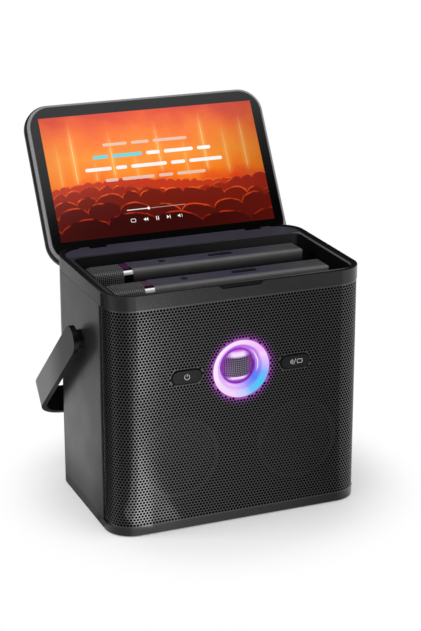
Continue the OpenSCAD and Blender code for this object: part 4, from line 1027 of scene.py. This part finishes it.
# The progress line, played up to "now", and the row of symbols under it
controls = {"lineY": 0.0345, "start": 0.100, "now": 0.131, "restStart": 0.1345, "end": 0.184,
            "symbolY": 0.0195, "arrow": 0.0024}
symbolLight = glowing("symbolLight", (0.92, 0.90, 0.88))
lineY, symbolY, arrow = controls["lineY"], controls["symbolY"], controls["arrow"]
sign("playedLine", [flatBar("run", (controls["start"], lineY), (controls["now"], lineY), 0.0011),
                    flatArc("dot", 0.0010, 0.0020, 0, 360, (controls["now"], lineY))], symbolLight)
sign("restLine", [flatBar("run", (controls["restStart"], lineY), (controls["end"], lineY), 0.0008)],
     glowing("dimLight", (0.55, 0.30, 0.24)))
sign("screenSymbols", [
    flatFrame("card", 0.0072, 0.0050, 0.0014, 0.0007, (0.106, symbolY)),
    flatShape("backOne", [(0.1205, symbolY), (0.1240, symbolY + arrow), (0.1240, symbolY - arrow)]),
    flatShape("backTwo", [(0.1238, symbolY), (0.1273, symbolY + arrow), (0.1273, symbolY - arrow)]),
    flatBar("pauseOne", (0.1395, symbolY - 0.0022), (0.1395, symbolY + 0.0022), 0.0011),
    flatBar("pauseTwo", (0.1422, symbolY - 0.0022), (0.1422, symbolY + 0.0022), 0.0011),
    flatShape("next", [(0.1545, symbolY + arrow), (0.1545, symbolY - arrow), (0.1583, symbolY)]),
    flatBar("stop", (0.1592, symbolY - 0.0021), (0.1592, symbolY + 0.0021), 0.0008),
    flatShape("speaker", [(0.1705, symbolY + 0.001), (0.1705, symbolY - 0.001), (0.1722, symbolY - 0.001),
                          (0.1740, symbolY - arrow), (0.1740, symbolY + arrow), (0.1722, symbolY + 0.001)]),
    flatArc("wave", 0.0030, 0.0006, -42, 42, (0.1738, symbolY), steps=8)], symbolLight)
print("display drawn")


# ---- microphones

# Woven wire over a dark inner skin
def weaveMaterial():
    material, surface, place = newMaterial("weaveFinish")
    x, y, z = split(place)
    perMetre = 1200.0
    across = times(x, perMetre)
    turned = times(plus(y, z), perMetre)
    wires = stepUp(times(calc("SINE", plus(across, turned)), calc("SINE", minus(across, turned))), 0.15, 0.6)
    feed(surface, {"Base Color": mixColour(wires, (0.004, 0.004, 0.004), (0.26, 0.26, 0.265)),
                   "Normal": bumped(wires, 0.7, 0.0006), "Metallic": 0.2, "Roughness": 0.35})
    return material


# Polished collar coloured by the way it faces, as painted reflection: a dark magenta top, a white sloping facet as a
# painted highlight, black sides as painted shade
def collarMaterial():
    material, surface, place = newMaterial("collarFinish")
    paintedSideShade, paintedFacetHighlight, paintedMagentaReflection = (0.004, 0.004, 0.004), (0.75, 0.75, 0.77), (0.060, 0.004, 0.056)
    tint = ramp(facing(place)[2], [(0.0, paintedSideShade), (0.18, paintedSideShade), (0.32, paintedFacetHighlight), (0.74, paintedFacetHighlight),
                                   (0.80, (0.004, 0.003, 0.004)), (0.955, (0.004, 0.003, 0.004)),
                                   (0.985, paintedMagentaReflection), (1.0, paintedMagentaReflection)])
    feed(surface, {"Base Color": scaled(tint, clouds(place, 300.0, 1.0, 0.1, detail=3.0)),
                   "Metallic": 0.35, "Roughness": 0.22})
    return material


finishes.update(weave=weaveMaterial(), collar=collarMaterial())
micParts = [
    # part, piece, edge, body, slot, finish
    ("barrel", "Barrel", 0.0003, "_microphone", "barrel_plastic", "barrel"),
    ("collar", "Collar", 0.0004, "_microphone", "collar_chrome", "collar"),
    ("head", "Head", 0.0, "_microphone", "mesh_metal", "weave"),
    ("button", "Button", 0.0003, "_mic_button", "control_plastic", "control"),
    ("rocker", "Rocker", 0.0003, "_mic_rocker", "control_plastic", "control"),
]
for side in ("front", "rear"):
    for part, pieceName, edge, body, slotName, finish in micParts:
        nodeName = side + "_mic_" + part
        piece = softenedCopy(nodeName, side + "Mic" + pieceName, edge, steps=2)
        dress(piece, side + body, slotName, finishes[finish], nodeName)
print("microphones dressed")
